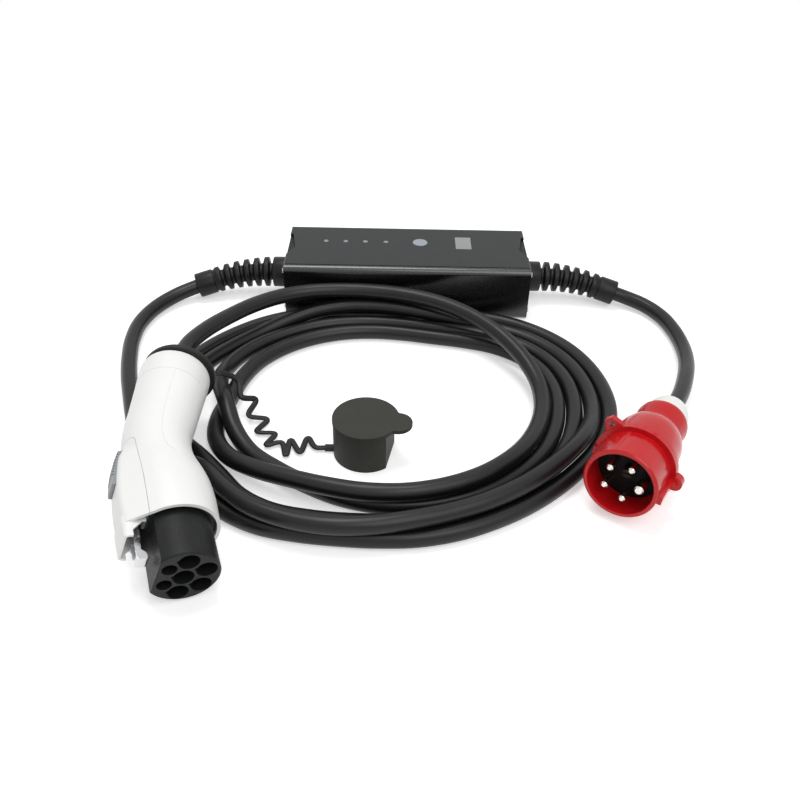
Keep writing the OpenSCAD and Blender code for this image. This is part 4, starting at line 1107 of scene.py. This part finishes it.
    def _cutter(self, outline: list[Flat]) -> bpy.types.Mesh:
        """Pushes an outline in X and Z right across the gun."""
        return prism("cutter", outline, -CUT_SIDE, CUT_SIDE, 1, self.place())

    def _cover_outline(self, gap: float) -> list[Flat]:
        """Gives the latch cover's outline seen from the side, grown by a gap."""
        low, end, r, start = self.split_z - gap, self.cover_end + gap, self.cover_corner, self.cover_start
        return [(start, low)] + arc(end - r, low + r, r, -90, 0) + [(end, CUT_TOP), (start, CUT_TOP)]

    def _inlay_outline(self, gap: float) -> list[Flat]:
        """Gives the grip's outline seen from the side, moved out by a gap."""
        line = np.array(self.inlay_line)
        curve = np.vstack([line[:1], spline(line[1:-1], self.inlay_steps, axes=2), line[-1:]])
        return [(float(x) - gap, float(z) + gap) for x, z in curve]

    def _hood(self) -> bpy.types.Mesh:
        """Makes the short hood over the lever's hook, cut back under its edge."""
        front, back, half, top = self.hood
        bend, level = self.hood_round, back - self.hood_round

        def cap(inset: float, start: float, end: float) -> bpy.types.Mesh:
            """Makes a round-topped block that slopes down to the front, inset on all sides."""
            r, side, low = bend - inset, half - bend, self.split_z - inset
            outline = ([(-half + inset, low), (half - inset, low)] + arc(side, top - bend, r, 0, 90)
                       + arc(-side, top - bend, r, 90, 180))
            over = [(start - 1, top - self.hood_slope - inset), (level, top - inset), (level, CUT_TOP),
                    (start - 1, CUT_TOP)]
            block = prism("hood", outline, start, end, 0, self.place())
            return carve(block, self._cutter(over), "DIFFERENCE")

        # What is cut away from below, so that the hood's sides slope up to its front edge.
        lip, before, under = top - 6.5, front - 2, self.split_z - 4
        below = [(before, under), (level, under), (level, self.split_z + 2), (front + 5, lip), (before, lip)]
        hood = carve(cap(0.0, front, back), cap(self.hood_wall, front - 1, back + 1), "DIFFERENCE")
        return carve(hood, self._cutter(below), "DIFFERENCE")


@dataclass
class Latch:
    """The latch that swings in the gun: chromed lever, grey thumb button and the spring under them.

    Attributes:
        shop: The shared mesh work.
        gun: The gun that carries the latch.
        top: X and Z of the button's top line, from its front.
        foot: Z of its foot at the front and at the back.
        half: Half its width.
        edge: Rounding of its edges.
        chamfer: How far its front and back top edges are cut off.
        teeth: Front, back and count of the teeth, and their depth.
        tooth: Shares of one tooth's pitch, each with a share of its depth.
        spring: Place along the gun, foot, top, radius, wire and turns of the return spring, and the share of
            its height that is left when the latch is pressed.
        spring_steps: Rings in one turn of the spring.
        spring_sides: Faces around its wire.
    """

    shop: Workshop
    gun: ChargingGun
    top: tuple[Flat, ...] = ((73.3, 39.3), (84, 38.4), (95, 36.2), (105.5, 32.4))
    foot: Flat = (30.2, 28.2)
    half: float = 7.8
    edge: float = 0.22
    chamfer: Flat = (0.8, 0.4)
    teeth: tuple[float, float, int, float] = (81.5, 104.0, 8, 1.5)
    tooth: tuple[Flat, ...] = ((0.0, 0.0), (0.16, 1.0), (0.44, 1.0), (0.6, 0.0))
    spring: tuple[float, float, float, float, float, int, float] = (76.0, 18.15, 23.95, 2.6, 0.8, 4, 0.54)
    spring_steps: int = 24
    spring_sides: int = 10

    def build(self) -> None:
        """Makes the toothed button and the spring, and dresses the lever."""
        front, back, count, depth = self.teeth
        x, z = zip(*self.top)
        pitch, (fore, aft) = (back - front) / count, self.chamfer
        line = [(x[0], self.foot[0]), (x[0], z[0] - fore), (x[0] + fore, z[0])]
        for i in range(count):
            for share, drop in self.tooth:
                at = front + (i + share) * pitch
                line.append((at, float(np.interp(at, x, z)) - drop * depth))
        line += [(back, float(np.interp(back, x, z))), (x[-1], z[-1] - aft), (x[-1], self.foot[1])]
        mesh = prism("button", line, -self.half, self.half, 1, self.gun.place())
        self.shop.piece("thumb_button", mesh, GREY_PA, "button_grey", "latch", ("latch_button",), self.edge)
        self.shop.dress({"latch_lever": (CHROMED_STEEL, 0.3)})
        self._return_spring()

    def _return_spring(self) -> None:
        """Winds the spring under the lever."""
        x, low, high, radius, wire, turns, keep = self.spring
        place = self.gun.place()
        angles = np.linspace(0, 2 * math.pi * turns, self.spring_steps * turns + 1)
        rise = np.linspace(low + wire / 2, high - wire / 2, len(angles))
        route = [place @ Vector((x + radius * math.cos(a), radius * math.sin(a), z))
                 for a, z in zip(angles, rise)]
        coil = tube("return_spring", np.array(route), wire / 2, self.spring_sides)
        spring = self.shop.piece("return_spring", coil, ZINC_STEEL, "steel", "charger", ("latch_spring",))
        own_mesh(spring)


@dataclass
class DustCap:
    """The dust cap on the floor and the sprung tether that ties it to the gun.

    Attributes:
        shop: The shared mesh work.
        gun: The gun that carries the tether's ring.
        bend: Where the gun's handle turns down and by how many degrees.
        ring: Start and end along the handle, radius and hole of the tether's ring.
        ring_shift: How far the ring's rim lies off the handle's axis, across and up.
        ring_round: Rounding of the ring's rim.
        ring_sides: Faces around the ring.
        leave: Where the tether leaves the ring, across and in from its rim.
        width: The tether's width.
        height: The tether's height.
        step: Space between two rings of the tether, and the steps between two points of its route.
        sides: Faces around the tether.
        route: The tether's bends after it leaves the ring, at its foot.
        cap_at: The middle of the cap's foot.
        cap: The lid's radius, the distance of the flat, the wall, the height and the lid's thickness.
        edge: Rounding of the cap's edges, and how far its cup lies inside the lid's rim.
        tab: The pull tab's place, its rounding and the fillet where it meets the lid.
        face: The turn of the flat and the tab, in degrees.
        lug: How far the tether's lug reaches into the cap and out of it, its foot, its top and half its width.
    """

    shop: Workshop
    gun: ChargingGun
    bend: Flat = (128.0, 18.5)
    ring: tuple[float, float, float, float] = (75.5, 80.5, 29.2, 11.0)
    ring_shift: Flat = (-2.6, -2.4)
    ring_round: float = 1.6
    ring_sides: int = 96
    leave: Flat = (-8.0, 3.0)
    width: float = 3.0
    height: float = 5.0
    step: tuple[float, int] = (0.9, 12)
    sides: int = 20
    route: tuple[Point, ...] = (
        (-155, -199, 33), (-144, -196, 24), (-139.5, -209, 16), (-129, -203, 9), (-133, -219, 4),
        (-118, -219, 0.5), (-124, -236, 0.5), (-109, -238, 0.5), (-114, -253, 0.5), (-103, -249, 0.5),
        (-97, -265, 0.5), (-95, -246, 0.5), (-86, -261, 0.5), (-81, -243, 0.5), (-73, -255, 0.5),
        (-66.3, -255, 0.5))
    cap_at: Point = (-33.0, -255.0, 0.0)
    cap: tuple[float, float, float, float, float] = (26.8, 20.1, 1.8, 35.0, 3.2)
    edge: float = 0.5
    tab: Point = (26.0, 11.6, 2.5)
    face: float = -11.0
    lug: tuple[float, float, float, float, float] = (1.0, 6.5, 0.9, 5.1, 2.2)

    def build(self) -> None:
        """Makes the cap, the tether and its ring."""
        handle = self.gun.place() @ Matrix.Translation((self.bend[0], 0, 0)) @ Matrix.Rotation(
            math.radians(self.bend[1]), 4, "Y")
        start, end, radius, _ = self.ring
        first = handle @ Vector(((start + end) / 2, self.leave[0], self.leave[1] - radius))
        curve = spline([tuple(first)] + list(self.route), self.step[1])
        path = even(curve, self.step[0]) + np.array((0, 0, self.height / 2))
        strap = tube("cap_tether", path, self.width / 2, self.sides, tall=self.height / self.width)
        self.shop.piece("cap_tether", strap, BLACK_RUBBER, "soft_black", "charger", ("cap_strap",))
        self.shop.piece("tether_ring", self._ring(handle), BLACK_RUBBER, "soft_black", "charger")
        self.shop.piece("dust_cap_moulding", self._cap(), GREY_RUBBER, "cap_grey", "charger", ("dust_cap",),
                        self.edge)

    def _ring(self, place: Matrix) -> bpy.types.Mesh:
        """Makes the tether's ring, an upright disc around the gland's neck.

        Args:
            place: The handle's frame in the model.

        Returns:
            The ring's mesh.
        """
        start, end, radius, hole = self.ring
        r, (across, up) = self.ring_round, self.ring_shift
        rim = arc(end - r, radius - r, r, 0, 90) + arc(start + r, radius - r, r, 90, 180)
        outline = [(start, hole, 0.0), (end, hole, 0.0)] + [(x, y, 1.0) for x, y in rim]
        rings = [[(x, y * math.cos(a) + across * moved, y * math.sin(a) + up * moved)
                  for x, y, moved in outline] for a in around(self.ring_sides)]
        return loft("tether_ring", rings, True, place)

    def _cap(self) -> bpy.types.Mesh:
        """Makes the dust cap: a cup with one flat, a lid and a pull tab that runs into it."""
        place = Matrix.Translation(self.cap_at) @ Matrix.Rotation(math.radians(self.face), 4, "Z")
        radius, flat, wall, high, lid = self.cap
        lift, tab, fillet = self.tab
        x = ((radius + fillet) ** 2 - (tab + fillet) ** 2 + lift ** 2) / (2 * lift)
        y = math.sqrt((radius + fillet) ** 2 - x ** 2)
        at_lid, at_tab = math.degrees(math.atan2(y, x)), math.degrees(math.atan2(y, x - lift))
        lid_line = (arc(0, 0, radius, at_lid, 360 - at_lid, 72)
                    + arc(x, -y, fillet, 180 - at_lid, 180 - at_tab, 6)
                    + arc(lift, 0, tab, -at_tab, at_tab, 32) + arc(x, y, fillet, 180 + at_tab, 180 + at_lid, 6))

        def cup(inset: float, low: float, top: float) -> bpy.types.Mesh:
            """Makes a round block with its flat, inset on all sides."""
            r, side = radius - self.edge - inset, flat - inset
            open_at = math.degrees(math.acos(side / r))
            return prism("cup", arc(0, 0, r, open_at, 360 - open_at, 88), low, top, 2, place)

        inside, outside, foot, crown, half = self.lug
        near, far = inside - radius, -radius - outside
        lug = prism("lug", [(far, foot), (near, foot), (near, crown), (far, crown)], -half, half, 1,
                    Matrix.Translation(self.cap_at))
        top = prism("lid", lid_line, high - lid, high, 2, place)
        body = carve(carve(cup(0.0, 0.0, high - lid + self.edge), top, "UNION"), lug, "UNION")
        return carve(body, cup(wall, -1.0, high - lid), "DIFFERENCE")


def main() -> None:
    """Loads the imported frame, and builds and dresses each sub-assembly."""
    logging.basicConfig(level=logging.INFO, format="%(name)s: %(message)s")
    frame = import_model()
    Stage().build()
    shop = Workshop(frame)
    ControlBox(shop).build()
    gun = ChargingGun(shop)
    gun.build()
    Latch(shop, gun).build()
    DustCap(shop, gun).build()
    MainsPlug(shop).build()
    Cables(shop).build()


if __name__ == "__main__":
    main()
